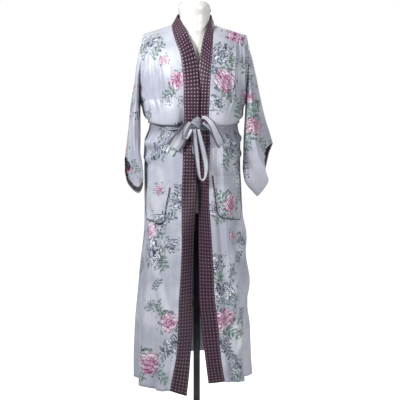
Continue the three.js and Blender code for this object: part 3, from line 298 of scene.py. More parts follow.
def backPlain(u, v):
    u, v = np.broadcast_arrays(u, v)
    reach = np.abs(u)
    side = bySide(u, sidePoint(frontRightSections, v), sidePoint(frontLeftSections, v)).copy()
    side[..., 1] = np.abs(side[..., 1])
    turns = [along(rows, "drop", "turn", v) for rows in (frontRightSections, frontLeftSections)]
    turn = np.where(u < 0, *turns)
    point = quarter(placeAlong(centreBackSections, "drop", v), side, turn, reach)
    zero = 0 * v
    tip = bySide(u, sidePoint(frontRightSections, zero), sidePoint(frontLeftSections, zero))
    top = quarter(placeAlong(centreBackSections, "drop", zero), tip, zero + 1, reach)
    point = point + (backTop(u) - top) * (1 - smooth(v / 150))[..., None]
    return bagged(point, v, 1 + zero, sideHang(u))


def backHeight(u, v):
    right = relief(joined(backRightFolds, backCreases), backSwags, u, v)
    left = relief(joined(backLeftFolds, backCreases), backSwags, u, v)
    return np.where(u < 0, right, left)


backSurface = lifted(backPlain, backHeight)

# Rows of the grid are closest where the cloth bags over the belt.
bodyLevels = np.concatenate([
    np.arange(0, 300, 6.0), np.arange(300, 430, 2.0), np.arange(430, 1309, 7.0), [hemDrop],
])


# The sign is chosen once for a sheet, so that most normals point away from the axis or the tube.
def gridNormals(points, closed=False, middle=None):
    if closed:
        du = np.roll(points, -1, axis=1) - np.roll(points, 1, axis=1)
    else:
        du = np.gradient(points, axis=1)
    normals = unit(np.cross(du, np.gradient(points, axis=0)))
    if middle is None:
        middle = points.mean(axis=1, keepdims=True) if closed else points * np.array([0, 0, 1])
    return normals if (normals * (points - middle)).sum() > 0 else -normals


def makeSheet(surface, columns, levels):
    u, v = np.meshgrid(columns, levels)
    points = surface(u, v)
    return {"points": points, "normals": gridNormals(points), "u": u, "v": v}


frontColumns = np.linspace(0, 1, 84)
sheets = {
    "front_right": makeSheet(rightSurface, frontColumns, bodyLevels),
    "front_left": makeSheet(leftSurface, frontColumns, bodyLevels),
    "back": makeSheet(backSurface, np.linspace(-1, 1, 161), bodyLevels),
}
print("body sheets", {name: s["points"].shape for name, s in sheets.items()})


armholeDrop = 300
sleeveRightSections = table("along topX topY topZ underX underY underZ front back", [
    [0, -184, 0, 1468, -198, 0, 1232, 48, 48], [0.18, -204, 0, 1388, -200, -6, 1180, 66, 54],
    [0.36, -215, 0, 1313, -200, -14, 1130, 74, 58], [0.6, -234, 0, 1208, -200, -24, 1060, 78, 60],
    [0.85, -247, 0, 1098, -202, -34, 975, 76, 58], [1, -256, 0, 1037, -204, -38, 912, 70, 54],
])
sleeveLeftSections = table("along topX topY topZ underX underY underZ front back", [
    [0, 174, 0, 1464, 174, 0, 1235, 48, 48], [0.16, 192, 0, 1393, 171, -24, 1178, 52, 56],
    [0.32, 209, 0, 1322, 167, -46, 1118, 50, 60], [0.48, 223, 0, 1261, 165, -62, 1058, 46, 62],
    [0.72, 247, 0, 1165, 166, -70, 985, 44, 62], [0.84, 260, 0, 1126, 176, -66, 950, 44, 58],
    [1, 272, 0, 1086, 217, -40, 901, 48, 48],
])
cuffRightEdge = table("x y z", [
    [-256, 0, 1037], [-237, -48, 1022], [-216, -88, 988], [-189, -80, 953], [-204, -38, 912],
    [-232, 14, 916], [-257, 44, 946], [-260, 30, 995],
])
cuffLeftEdge = table("x y z", [
    [272, 0, 1086], [238, -62, 1062], [242, -80, 1000], [252, -70, 957], [217, -40, 901], [222, 22, 935],
    [250, 44, 985], [262, 34, 1045],
])


# A sleeve is a tube. k goes round it in twentieths, from the top fold by the front to the underarm at
# 10 and back behind; q goes from the armhole at 0 to the cuff at 1. Near the body the tube turns into
# the armhole's edge, near the cuff into the cuff's.
sleeve = {"parts": 20, "step": 0.2, "bodyShare": 0.4, "cuffStart": 0.45, "sideGap": 0.5, "topGap": 0.4}


# A closed smooth curve through the corners of a cuff.
def cuffCurve(edge, k):
    corners = np.stack([edge["x"], edge["y"], edge["z"]], axis=-1)
    at = k / sleeve["parts"] * len(corners)
    i = np.floor(at).astype(int)
    t = (at - i)[..., None]
    a, b, c, d = [corners[(i + o) % len(corners)] for o in (-1, 0, 1, 2)]
    return b + 0.5 * t * (c - a + t * (2 * a - 5 * b + 4 * c - d + t * (3 * (b - c) + d - a)))


def sleeveRing(rows, q, k):
    top = placeAlong(rows, "along", q, ("topX", "topY", "topZ"))
    under = placeAlong(rows, "along", q, ("underX", "underY", "underZ"))
    angle = 2 * np.pi * k / sleeve["parts"]
    depth = np.where(np.sin(angle) >= 0, along(rows, "along", "front", q), along(rows, "along", "back", q))
    point = (top + under) / 2 + (top - under) * (np.cos(angle) / 2)[..., None]
    point[..., 1] -= depth * np.sin(angle)
    return point


# Creases along a sleeve: "round" is the k of the middle of each, "drift" how far it wanders in k.
sleeveCreases = table("round drift halfWidth height starts ends", [
    [1.6, 0.5, 0.5, 4, 0.0, 1.1], [3.2, -0.6, 0.45, -4, 0.05, 0.9], [4.6, 0.4, 0.5, 4, 0.15, 1.1],
    [5.9, -0.8, 0.4, -3.5, 0.0, 0.8], [7.4, 0.3, 0.5, 3.5, 0.2, 1.1], [8.8, 0.2, 0.35, -3, 0.0, 0.7],
    [12, 0.4, 0.5, -4, 0.05, 1.1], [13.6, -0.5, 0.45, 4, 0.1, 0.9], [15.2, 0.5, 0.5, -4, 0.0, 1.1],
    [16.8, -0.3, 0.5, 4, 0.15, 1.1], [18.3, 0.2, 0.4, -3, 0.0, 0.8], [2.4, 0.0, 0.22, -2, 0.5, 1.1],
    [14.4, 0.0, 0.22, 2, 0.4, 1.1],
])


def sleeveSheet(rows, edge, front, back, backSide, flip):
    k = np.arange(0, sleeve["parts"], sleeve["step"])
    underarm = sleeve["parts"] / 2
    onFront = k <= underarm
    drop = armholeDrop / underarm * np.where(onFront, k, sleeve["parts"] - k)
    one = 1 + 0 * k
    ring = np.where(onFront[:, None], front(one, drop), back(backSide * one, drop))
    ring = ring + np.array([flip * sleeve["sideGap"], 0, sleeve["topGap"]])
    levels = np.concatenate([np.linspace(0, 0.3, 26)[:-1], np.linspace(0.3, 1, 56)])
    kk, q = np.meshgrid(k, levels)
    plain = sleeveRing(rows, q, kk)
    fromBody = ring[None] - sleeveRing(rows, 0 * q, kk)
    toCuff = cuffCurve(edge, kk) - sleeveRing(rows, 0 * q + 1, kk)
    points = plain + fromBody * (1 - smooth(q / sleeve["bodyShare"]))[..., None]
    points = points + toCuff * smooth((q - sleeve["cuffStart"]) / (1 - sleeve["cuffStart"]))[..., None]
    out = points - points.mean(axis=1, keepdims=True)
    out[..., 2] = 0
    height = 0 * q
    for row in zip(*sleeveCreases.values()):
        place, drift, half, size, starts, ends = row
        off = (kk - place - drift * (q - 0.5)) / half
        fade = smooth((q - starts) / 0.15) * smooth((ends - q) / 0.15)
        height = height + size * fade * np.exp(-off * off)
    points = points + unit(out) * height[..., None] * smooth(q / 0.12)[..., None]
    return {"points": points, "normals": gridNormals(points, closed=True), "u": kk, "v": q}


sheets["sleeve_right"] = sleeveSheet(sleeveRightSections, cuffRightEdge, rightSurface, backSurface, -1, -1)
sheets["sleeve_left"] = sleeveSheet(sleeveLeftSections, cuffLeftEdge, leftSurface, backSurface, 1, 1)


bandFreeRight = table("drop x y z", [
    [-112, -6, 58, 1547], [-78, -38, 51, 1545], [-42, -59, 29, 1540], [0, -66, 0, 1532],
    [55, -49, -40, 1502], [105, -32, -63, 1469], [145, -14, -83, 1431], [195, 4, -108, 1370],
    [240, 8, -122, 1322], [300, 10, -137, 1255], [335, 9, -137, 1222], [370, 9, -136, 1190],
    [418, 9, -136, 1142], [455, 6, -146, 1105], [535, 3, -155, 1023], [650, -1, -151, 907],
    [780, -9, -146, 778], [915, -12, -157, 644], [1000, -13, -167, 556], [1100, -15, -181, 456],
    [1185, -20, -193, 369], [1250, -26, -207, 294], [1315, -34, -220, 224],
])
bandFreeLeft = table("drop x y z", [
    [-112, -6, 58, 1547], [-78, 24, 51, 1544], [-42, 45, 29, 1538], [0, 53, 0, 1529], [55, 39, -42, 1498],
    [105, 26, -65, 1462], [145, 17, -88, 1420], [195, 10, -107, 1372], [240, 0, -117, 1316],
    [300, -6, -129, 1255], [335, -8, -129, 1222], [370, -8, -128, 1190], [418, -8, -128, 1142],
    [455, -6, -135, 1105], [535, -3, -140, 1027], [650, 8, -128, 913], [780, 8, -142, 785],
    [915, 9, -161, 646], [1000, 10, -173, 559], [1100, 18, -187, 461], [1185, 28, -198, 379],
    [1250, 35, -208, 322], [1315, 42, -215, 268],
])


# The band goes from its seam to its free edge, bowed forward in its middle by 4 w (1 - w) of a height.
bandBow = {"right": 2.2, "left": 1.2}


def bandSheet(rows, neckSeam, freeEdge, bowOut):
    levels = np.concatenate([np.linspace(neckDrop, -5, 20), bodyLevels])
    w, v = np.meshgrid(np.linspace(0, 1, 13), levels)
    seam = np.where((v < 0)[..., None], placeAlong(neckSeam, "drop", v), edgePoint(rows, np.maximum(v, 0)))
    free = placeAlong(freeEdge, "drop", v)
    points = seam + (free - seam) * w[..., None]
    points[..., 1] -= bowOut * 4 * w * (1 - w) * smooth(v / 300)
    return {"points": points, "normals": gridNormals(points), "u": w, "v": v}


sheets["band_right"] = bandSheet(frontRightSections, neckSeamRight, bandFreeRight, bandBow["right"])
sheets["band_left"] = bandSheet(frontLeftSections, neckSeamLeft, bandFreeLeft, bandBow["left"])


pocketLift = 3.3
pocketRight = {"topNear": [0.19, 606], "topFar": [0.66, 592], "lowNear": [0.3, 738], "lowFar": [0.78, 718]}
pocketLeft = {"topNear": [0.07, 572], "topFar": [0.74, 578], "lowNear": [0.16, 716], "lowFar": [0.74, 736]}


# s goes across a pocket, t down from its opening; the lower corners are rounded. The mouth sags
# forward by sag sin(pi s) in a bell round the opening.
pocketShape = {"corner": 0.16, "cornerRise": 0.14, "sag": 1.8, "sagAt": 0.02, "sagReach": 0.16}


def pocketPlace(pocket, s, t):
    corner = pocketShape["corner"]
    near = np.maximum(0, corner - np.minimum(s, 1 - s)) / corner
    low = t * (1 - pocketShape["cornerRise"] * near * near * smooth((t - 0.5) / 0.5))

    def between(a, b, share):
        return [pocket[a][i] + (pocket[b][i] - pocket[a][i]) * share for i in (0, 1)]
    top, bottom = between("topNear", "topFar", s), between("lowNear", "lowFar", s)
    return [top[i] + (bottom[i] - top[i]) * low for i in (0, 1)]


def pocketSheet(surface, pocket, across, down):
    s, t = np.meshgrid(np.linspace(0, 1, across), np.linspace(0, 1, down))
    points = surface(*pocketPlace(pocket, s, t))
    bell = np.exp(-((t - pocketShape["sagAt"]) / pocketShape["sagReach"]) ** 2)
    sag = pocketShape["sag"] * np.sin(np.pi * s) * bell
    normals = gridNormals(points)
    return {"points": points + normals * sag[..., None], "normals": normals, "u": s, "v": t}


sheets["pocket_right"] = pocketSheet(rightSurface, pocketRight, 50, 50)
sheets["pocket_left"] = pocketSheet(leftSurface, pocketLeft, 56, 56)
print("sheets", len(sheets))


# Motifs: ordinary flowers, which are peonies and small blossoms, and leafy sprigs.
# Pixels are in a frame of 400; hue 0 is pink, 1 grey-blue; radius in millimetres; turn in degrees.
frameWidth, sensorWidth = 400, 36
flowerTable = table("pixelX pixelY hue radius", [
    [221, 55, 1, 27], [225, 82, 0, 30], [177, 80, 0, 27], [164, 60, 0.1, 14], [141, 104, 1, 26],
    [166, 142, 1, 32], [152, 43, 1, 24], [230, 147, 1, 28], [238, 168, 1, 20], [252, 96, 0.1, 18],
    [256, 126, 0, 28], [127, 149, 0.1, 19], [231, 205, 0, 31], [214, 209, 1, 20], [160, 222, 1, 24],
    [177, 202, 1, 20], [149, 230, 0, 26], [150, 252, 1, 34], [172, 246, 1, 20], [168, 322, 0, 28],
    [150, 364, 0, 34], [173, 344, 1, 26], [217, 265, 1, 24], [222, 291, 1, 30], [224, 319, 0, 31],
    [221, 341, 1, 24], [233, 272, 1, 15], [243, 326, 0.9, 15], [238, 367, 1, 20], [150, 305, 1, 15],
    [134, 88, 0.1, 15], [183, 101, 1, 15], [218, 104, 1, 20], [240, 240, 1, 17], [160, 190, 0.1, 15],
    [233, 236, 0.1, 15], [241, 107, 1, 15], [168, 100, 1, 15], [246, 62, 1, 15],
])
sprigTable = table("pixelX pixelY hue radius turn", [
    [158, 50, 0.3, 25, 40], [143, 52, 0.3, 22, 140], [231, 64, 0.2, 25, 60], [230, 94, 0.2, 26, 300],
    [213, 68, 0.9, 22, 120], [169, 92, 0.2, 23, 250], [184, 70, 0.2, 20, 70], [147, 114, 0.8, 24, 200],
    [131, 94, 0.7, 18, 100], [158, 152, 0.9, 26, 210], [177, 134, 0.9, 25, 40], [238, 140, 0.8, 25, 60],
    [226, 160, 0.3, 24, 240], [248, 108, 0.1, 28, 280], [249, 142, 0.1, 26, 260], [263, 146, 0.2, 22, 300],
    [220, 197, 0.1, 24, 150], [238, 193, 0.2, 22, 60], [222, 216, 0.2, 22, 200], [169, 216, 0.9, 22, 20],
    [155, 236, 0.2, 23, 200], [139, 238, 0.2, 24, 100], [159, 262, 0.2, 26, 300], [141, 266, 0.8, 24, 230],
    [160, 310, 0.1, 26, 130], [178, 328, 0.2, 24, 330], [166, 353, 0.9, 26, 220], [160, 376, 0.1, 26, 330],
    [141, 352, 0.1, 24, 110], [216, 278, 0.1, 24, 80], [232, 300, 0.2, 24, 40], [214, 310, 0.9, 22, 160],
    [233, 332, 0.2, 26, 320], [229, 352, 0.9, 24, 280], [241, 314, 0.9, 20, 70], [237, 380, 0.4, 20, 20],
    [126, 138, 0.3, 20, 260], [135, 166, 0.3, 20, 290], [177, 190, 0.9, 20, 90], [208, 62, 0.9, 18, 100],
    [139, 376, 0.2, 22, 200], [156, 285, 0.9, 18, 80], [146, 130, 0.8, 18, 60], [238, 256, 0.9, 18, 250],
    [246, 78, 0.2, 22, 290],
])


cameraSpot, cameraAim, focal = (0.0125, -2.9, 1.36), (0.0125, 0.0, 0.88), 73.08


# Where a point lies in the camera's frame, in pixels from its upper left.
def toFrame(points):
    aim = unit(np.array(cameraAim) - np.array(cameraSpot))
    right = np.array([1.0, 0, 0])
    up = np.cross(right, aim)
    rel = points * mm - np.array(cameraSpot)
    scale = focal / sensorWidth * frameWidth / (rel @ aim)
    middle = frameWidth / 2
    return np.stack([middle + (rel @ right) * scale, middle - (rel @ up) * scale], axis=-1)


# A motif is a middle, two directions on the cloth, a radius, a hue and a phase. The rows are placed
# where the camera sees them; "hidden" tells how many more are drawn at random for each sheet's back,
# kept apart by a number of their radii.
keptApart = 3.3


def placedMotifs(rows, hidden, seed, grow):
    names = ("front_right", "front_left", "sleeve_right", "sleeve_left")
    spots = np.concatenate([sheets[n]["points"].reshape(-1, 3) for n in names])
    normals = np.concatenate([sheets[n]["normals"].reshape(-1, 3) for n in names])
    seen = normals[:, 1] < -0.15
    spots, normals = spots[seen], normals[seen]
    inFrame = toFrame(spots)
    found = []
    for x, y, hue, radius in zip(rows["pixelX"], rows["pixelY"], rows["hue"], rows["radius"]):
        miss = ((inFrame - [x, y]) ** 2).sum(axis=1) + 0.02 * (spots[:, 1] + 300)
        k = miss.argmin()
        found.append((spots[k], normals[k], hue, radius))
    draw = np.random.default_rng(seed)
    for name, count in hidden:
        sheet = sheets[name]
        flat = sheet["points"].reshape(-1, 3)
        facing = sheet["normals"].reshape(-1, 3)
        free = facing[:, 1] > 0.25
        for _ in range(count):
            pool = np.flatnonzero(free)
            if len(pool) == 0:
                break
            k = draw.choice(pool)
            hue, radius = draw.choice([0, 1, 1, 0.3]), draw.uniform(15, 30)
            found.append((flat[k], facing[k], hue, radius))
            free &= np.linalg.norm(flat - flat[k], axis=1) > keptApart * radius
    spot = np.array([f[0] for f in found])
    normal = np.array([f[1] for f in found])
    turn = rows["turn"] if "turn" in rows else draw.uniform(0, 360, len(rows["hue"]))
    turn = np.radians(np.concatenate([turn, draw.uniform(0, 360, len(found) - len(turn))]))[:, None]
    side = unit(np.cross([0, 0, 1.0], normal) + 1e-6)
    up = np.cross(normal, side)
    return {
        "spot": spot,
        "across": side * np.cos(turn) + up * np.sin(turn),
        "along": up * np.cos(turn) - side * np.sin(turn),
        "hue": np.array([f[2] for f in found], float),
        "radius": np.array([f[3] for f in found], float) * grow,
        "phase": draw.random(len(found)),
    }


flowers = placedMotifs(flowerTable, [("back", 26), ("sleeve_right", 7), ("sleeve_left", 7)], 11, 1.38)
sprigs = placedMotifs(sprigTable, [("back", 34), ("sleeve_right", 9), ("sleeve_left", 9)], 23, 1.25)
print("motifs", len(flowers["hue"]), len(sprigs["hue"]))


collection = bpy.context.scene.collection


# For each face the nearest motif; each of its corners gets its place in that motif's own frame, or
# one far off the motif where the face lies further from its plane than the reach, in radii.
motifReach, farOff, facesAtOnce = 1.6, 9, 20000


def writeMotifs(mesh, verts, faces, name, motifs):
    middle = verts[faces].mean(axis=1)
    best = np.zeros(len(faces), int)
    for start in range(0, len(faces), facesAtOnce):
        part = slice(start, start + facesAtOnce)
        gap = np.linalg.norm(middle[part, None] - motifs["spot"][None], axis=2) / motifs["radius"]
        best[part] = gap.argmin(axis=1)
    own = np.repeat(best, 4)
    rel = (verts[faces.ravel()] - motifs["spot"][own]) / motifs["radius"][own][:, None]
    away = (rel * np.cross(motifs["across"], motifs["along"])[own]).sum(axis=1)
    place = np.stack([(rel * motifs[way][own]).sum(axis=1) for way in ("across", "along")], axis=-1)
    place[np.abs(away) > motifReach] = farOff
    layer = mesh.uv_layers.new(name=name + "Place")
    layer.data.foreach_set("uv", place.astype(np.float32).ravel())
    kind = np.stack([motifs["hue"][own], motifs["phase"][own], 0 * own, 1 + 0 * own], axis=-1)
    attribute = mesh.color_attributes.new(name=name + "Kind", type="FLOAT_COLOR", domain="CORNER")
    attribute.data.foreach_set("color", kind.astype(np.float32).ravel())


def makeMesh(name, verts, faces, place=None, motifs=True):
    mesh = bpy.data.meshes.new(name)
    mesh.from_pydata((verts * mm).tolist(), [], faces.tolist())
    if place is not None:
        layer = mesh.uv_layers.new(name="clothPlace")
        layer.data.foreach_set("uv", (place[faces.ravel()]).astype(np.float32).ravel())
    if motifs:
        writeMotifs(mesh, verts, faces, "flower", flowers)
        writeMotifs(mesh, verts, faces, "sprig", sprigs)
    mesh.polygons.foreach_set("use_smooth", np.full(len(faces), True))
    mesh.validate()
    mesh.update()
    made = bpy.data.objects.new(name, mesh)
    collection.objects.link(made)
    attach(made, "root")
    return made


def facingOut(verts, faces):
    a, b, c = verts[faces[:, 0]], verts[faces[:, 1]], verts[faces[:, 2]]
    d = verts[faces[:, 3]]
    volume = (np.cross(a, b) * c).sum() + (np.cross(a, c) * d).sum()
    return faces if volume > 0 else faces[:, ::-1]


# The four-sided faces of a grid of vertex numbers.
def quads(grid):
    return np.stack([grid[:-1, :-1], grid[:-1, 1:], grid[1:, 1:], grid[1:, :-1]], axis=-1).reshape(-1, 4)


def wrapped(grid):
    return np.concatenate([grid, grid[:, :1]], axis=1)


def rim(line, low):
    return np.stack([line[:-1], line[1:], low[1:], low[:-1]], axis=-1)


# The shell between a sheet moved out and moved in by half of its wall, with closed rims.
def shell(name, sheet, thickness=clothWall, lift=0, closed=False, motifs=True):
    points, normals = sheet["points"], sheet["normals"]
    height, width = points.shape[:2]
    grid = np.arange(height * width).reshape(height, width)
    if closed:
        grid = wrapped(grid)
    verts = np.concatenate([
        (points + normals * (lift + side * thickness / 2)).reshape(-1, 3) for side in (1, -1)
    ])
    inner = grid + height * width
    faces = [quads(grid), quads(inner)[:, ::-1]]
    faces += [rim(grid[0], inner[0])[:, ::-1], rim(grid[-1], inner[-1])]
    if not closed:
        faces += [rim(grid[:, 0], inner[:, 0]), rim(grid[:, -1], inner[:, -1])[:, ::-1]]
    faces = facingOut(verts, np.concatenate(faces))
    place = np.tile(np.stack([sheet["u"], sheet["v"]], axis=-1).reshape(-1, 2), (2, 1))
    return makeMesh(name, verts, faces, place, motifs)


def sheetArea(sheet, closed=False):
    p = sheet["points"]
    if closed:
        p = np.concatenate([p, p[:, :1]], axis=1)
    a, b = p[1:, 1:] - p[:-1, :-1], p[1:, :-1] - p[:-1, 1:]
    return np.linalg.norm(np.cross(a, b), axis=-1).sum() / 2 * mm * mm


# A number that flows through a node graph: sums, products and comparisons of it make math nodes.
class Flow:
    def __init__(self, graph, socket):
        self.graph, self.socket = graph, socket

    def __add__(self, other):
        return self.graph.math("ADD", self, other)

    def __sub__(self, other):
        return self.graph.math("SUBTRACT", self, other)

    def __rsub__(self, other):
        return self.graph.math("SUBTRACT", other, self)

    def __mul__(self, other):
        return self.graph.math("MULTIPLY", self, other)

    def __truediv__(self, other):
        return self.graph.math("DIVIDE", self, other)

    def __gt__(self, other):
        return self.graph.math("GREATER_THAN", self, other)

    def __abs__(self):
        return self.graph.math("ABSOLUTE", self)

    __radd__, __rmul__ = __add__, __mul__


class Graph:
    def __init__(self, name):
        self.material = bpy.data.materials.new(name)
        self.material.use_nodes = True
        self.tree = self.material.node_tree
        self.shader = self.tree.nodes["Principled BSDF"]

    def feed(self, socket, value):
        if isinstance(value, Flow):
            self.tree.links.new(value.socket, socket)
        else:
            socket.default_value = colour(value) if isinstance(value, str) else value

    def node(self, kind, *values, out=0, **settings):
        made = self.tree.nodes.new(kind)
        for key, value in settings.items():
            setattr(made, key, value)
        for socket, value in zip(made.inputs, values):
            self.feed(socket, value)
        return Flow(self, made.outputs[out])

    def math(self, operation, *values):
        return self.node("ShaderNodeMath", *values, operation=operation)

    def length(self, x, y):
        return self.math("SQRT", x * x + y * y)

    def mix(self, share, a, b):
        made = self.tree.nodes.new("ShaderNodeMix")
        made.data_type = "RGBA"
        for index, value in ((0, share), (6, a), (7, b)):
            self.feed(made.inputs[index], value)
        return Flow(self, made.outputs[2])

    def step(self, value, low, high):
        return self.node("ShaderNodeMapRange", value, low, high, 0.0, 1.0, interpolation_type="SMOOTHSTEP")

    def fall(self, value, low, high):
        return 1.0 - self.step(value, low, high)

    def parts(self, kind, whole):
        made = self.tree.nodes.new(kind)
        self.feed(made.inputs[0], whole)
        return Flow(self, made.outputs[0]), Flow(self, made.outputs[1])

    def uv(self, name):
        return self.parts("ShaderNodeSeparateXYZ", self.node("ShaderNodeUVMap", uv_map=name))

    def kind(self, name):
        return self.parts("ShaderNodeSeparateColor", self.node("ShaderNodeAttribute", attribute_name=name))

    def noise(self, scale, detail=3.0, rough=0.5, stretch=(1, 1, 1)):
        made = self.tree.nodes.new("ShaderNodeTexNoise")
        place = self.node("ShaderNodeTexCoord", out=3)
        self.feed(made.inputs[0], self.node("ShaderNodeMapping", place, (0, 0, 0), (0, 0, 0), stretch))
        for name, value in (("Scale", scale), ("Detail", detail), ("Roughness", rough)):
            made.inputs[name].default_value = value
        return Flow(self, made.outputs[0])

    # The distance to the nearest of scattered points, or to the border of its cell.
    def cells(self, place, scale, feature="F1", out="Distance"):
        made = self.tree.nodes.new("ShaderNodeTexVoronoi")
        made.feature = feature
        self.feed(made.inputs["Vector"], place)
        made.inputs["Scale"].default_value = scale
        return Flow(self, made.outputs[out])

    # A number from 0 to 1 of its own for each cell.
    def chance(self, place, scale):
        return self.parts("ShaderNodeSeparateColor", self.cells(place, scale, out="Color"))[0]

    def spot(self, x, y, z):
        return self.node("ShaderNodeCombineXYZ", x, y, z)

    def bump(self, height, strength, distance):
        made = self.tree.nodes.new("ShaderNodeBump")
        for name, value in (("Strength", strength), ("Distance", distance), ("Height", height)):
            self.feed(made.inputs[name], value)
        self.feed(self.shader.inputs["Normal"], Flow(self, made.outputs[0]))

    def finish(self, **values):
        for key, value in values.items():
            self.feed(self.shader.inputs[key.replace("_", " ")], value)
        return self.material


def colour(text):
    parts = [int(text[i:i + 2], 16) / 255 for i in (0, 2, 4)]
    return tuple(c / 12.92 if c <= 0.04045 else ((c + 0.055) / 1.055) ** 2.4 for c in parts) + (1,)


# A flower cluster: a disc whose rim is at 0.7 + 0.24 |sin(4.5 angle + 6.28 phase)|, cut into petals
# that are dark along the borders of scattered cells; leaves are scattered dabs round the disc.
def flowerPrint(g, base):
    x, y = g.uv("flowerPlace")
    hue, phase = g.kind("flowerKind")
    warp = (g.noise(55, 4) - 0.5) * 1.1
    x, y = x + warp, y - warp
    radius, angle = g.length(x, y), g.math("ARCTAN2", y, x)
    # leaves
    place = g.spot(angle * 1.5, radius * 2.6, phase * 30.0)
    gap, chance = g.cells(place, 1.35), g.chance(place, 1.35)
    ring = g.step(radius, 0.66, 0.8) * g.fall(radius, 1.15, 1.6)
    leaf = g.step(ring * 0.3 + 0.12 - gap, 0.0, 0.05) * (ring > 0.04) * (chance > 0.2)
    rim = g.step(gap, 0.1, 0.3)
    green = g.mix(chance > 0.62, g.mix(rim, "6c8c7e", "365a4c"), g.mix(rim, "7f8aa0", "2b3244"))
    painted = g.mix(leaf * 0.92, base, green)
    # petals
    place = g.spot(x, y, phase * 40.0)
    border, middle = g.cells(place, 3.8, "DISTANCE_TO_EDGE"), g.cells(place, 3.8)
    streak = g.step(g.noise(420, 2), 0.42, 0.62)
    depth = abs(g.math("SINE", angle * 4.5 + phase * 6.28)) * 0.24 + 0.7 - radius
    inside = g.step(depth, 0.0, 0.04)
    edge = inside * g.fall(depth, 0.05, 0.13)
    mark = g.math("MAXIMUM", g.fall(border, 0.03, 0.15), edge)
    mark = g.math("MAXIMUM", mark, g.fall(middle, 0.05, 0.3) * streak)
    deep = g.fall(radius, 0.15, 0.75)
    petal = g.mix(hue, g.mix(deep, "e2d6df", "a86f98"), g.mix(deep, "d3d8e2", "76809c"))
    petal = g.mix(streak * 0.35, petal, "eff0f4")
    painted = g.mix(inside, painted, g.mix(mark, petal, g.mix(hue, "7c3464", "22283e")))
    return g.mix(g.fall(radius, 0.05, 0.13) * streak * 0.8, painted, "e6d9a6")


# A sprig: a stem along y = 0.22 sin(2x + 6 phase) with leaves on both sides, each a lens
# |cell| < 0.36 (1 - length length), and small blossoms, pale inside a dark line.
def sprigPrint(g, base):
    x, y = g.uv("sprigPlace")
    hue, phase = g.kind("sprigKind")
    warp = (g.noise(80, 2) - 0.5) * 0.4
    x, y = x + warp, y + warp
    y = y - g.math("SINE", x * 2.0 + phase * 6.0) * 0.22
    within = g.fall(abs(x), 0.95, 1.0)
    painted = g.mix(within * g.fall(abs(y), 0.02, 0.06) * 0.9, base, "3c4a48")
    tone = g.step(g.noise(150, 2), 0.4, 0.6)
    green = g.mix(hue, g.mix(tone, "3c6656", "6f9482"), g.mix(tone, "2b3450", "5f6d86"))
    for sign, start in ((1, 0.0), (-1, 0.5)):
        cell = abs(g.math("FRACT", x * 2.1 + phase + start + y * (-0.9 * sign)) - 0.5)
        length = (y * sign - 0.33) / 0.34
        inside = g.step((1.0 - length * length) * 0.36 - cell, 0.0, 0.06) * within
        painted = g.mix(inside, painted, green)
        painted = g.mix(g.fall(cell, 0.015, 0.05) * inside * 0.6, painted, "d3dcd8")
    # blossoms
    place = g.spot(x, y, phase * 25.0)
    gap, chance = g.cells(place, 3.4), g.chance(place, 3.4)
    near = g.fall(g.math("SQRT", x * x + y * y * 2.2), 0.6, 1.0) * (chance > 0.3)
    painted = g.mix(near * g.fall(gap, 0.28, 0.33) * 0.8, painted, "dfe2ea")
    line = g.step(gap, 0.13, 0.2) * g.fall(gap, 0.34, 0.4)
    tint = g.mix(hue, g.mix(chance > 0.6, "355c4a", "7a3f66"), "2a3048")
    return g.mix(line * near * 0.85, painted, tint)


# Satin: a cloudy tint, the print where there is one, a painted shadow under the blouse bag, which rises to
# full at the drop "full" and goes again after "fades", a dark line of painted shade along both edges of a
# ribbon or a sewn line along a hem, and crumples with a fine weave in the bump.
paintedBagShadow = {"starts": 392.0, "full": 400.0, "fades": 410.0, "gone": 470.0, "strength": 0.75}


def satinMaterial(name, tint="bcbeca", shade="a3a6b5", edgeShadeLine=False, hemAt=None, printed=True):
    g = Graph(name)
    base = g.mix(g.step(g.noise(9, 3), 0.35, 0.65), tint, shade)
    mint = g.step(g.noise(14, 2, 0.5, (1, 1, 0.7)), 0.56, 0.72)
    base = g.mix(mint * 0.55, base, "bdc8c5")
    painted = flowerPrint(g, sprigPrint(g, base)) if printed else base
    u, v = g.uv("clothPlace")
    if edgeShadeLine:
        # Painted shade: a dark line along both edges of a ribbon, for its curled rims falling into shadow.
        painted = g.mix(g.step(abs(u - 0.5), 0.29, 0.39) * 0.88, painted, "3a3448")
    # Painted shadow: the cloth is darkened towards 4b4d5e between the drops 392 and 470, under the blouse
    # bag.
    under = g.step(v, paintedBagShadow["starts"], paintedBagShadow["full"]) * g.fall(v, paintedBagShadow["fades"], paintedBagShadow["gone"])
    painted = g.mix(under * paintedBagShadow["strength"], painted, g.mix(0.2, "4b4d5e", painted))
    if hemAt is not None:
        sewn = g.fall(abs(v - hemAt), 0.004, 0.01) * (g.math("FRACT", u * 42.0) > 0.35)
        painted = g.mix(sewn * 0.6, painted, "6f7389")
    weave, crumple = g.noise(1400, 2, 0.6, (1, 1, 0.35)), g.noise(34, 4, 0.55, (1, 1, 0.45))
    g.bump(weave * 0.06 + crumple, 0.5, 0.004)
    return g.finish(
        Base_Color=painted, Roughness=crumple * 0.16 + 0.34, Sheen_Weight=0.25, Sheen_Roughness=0.4,
        Specular_IOR_Level=0.45)


# The band's dots sit in a grid, 54 / 5 = 10.8 mm apart across and 11.6 mm along, about 5 mm wide.
dots = {"bandWidth": 54, "columns": 5, "pitch": 11.6, "inner": 1.7, "outer": 2.9}


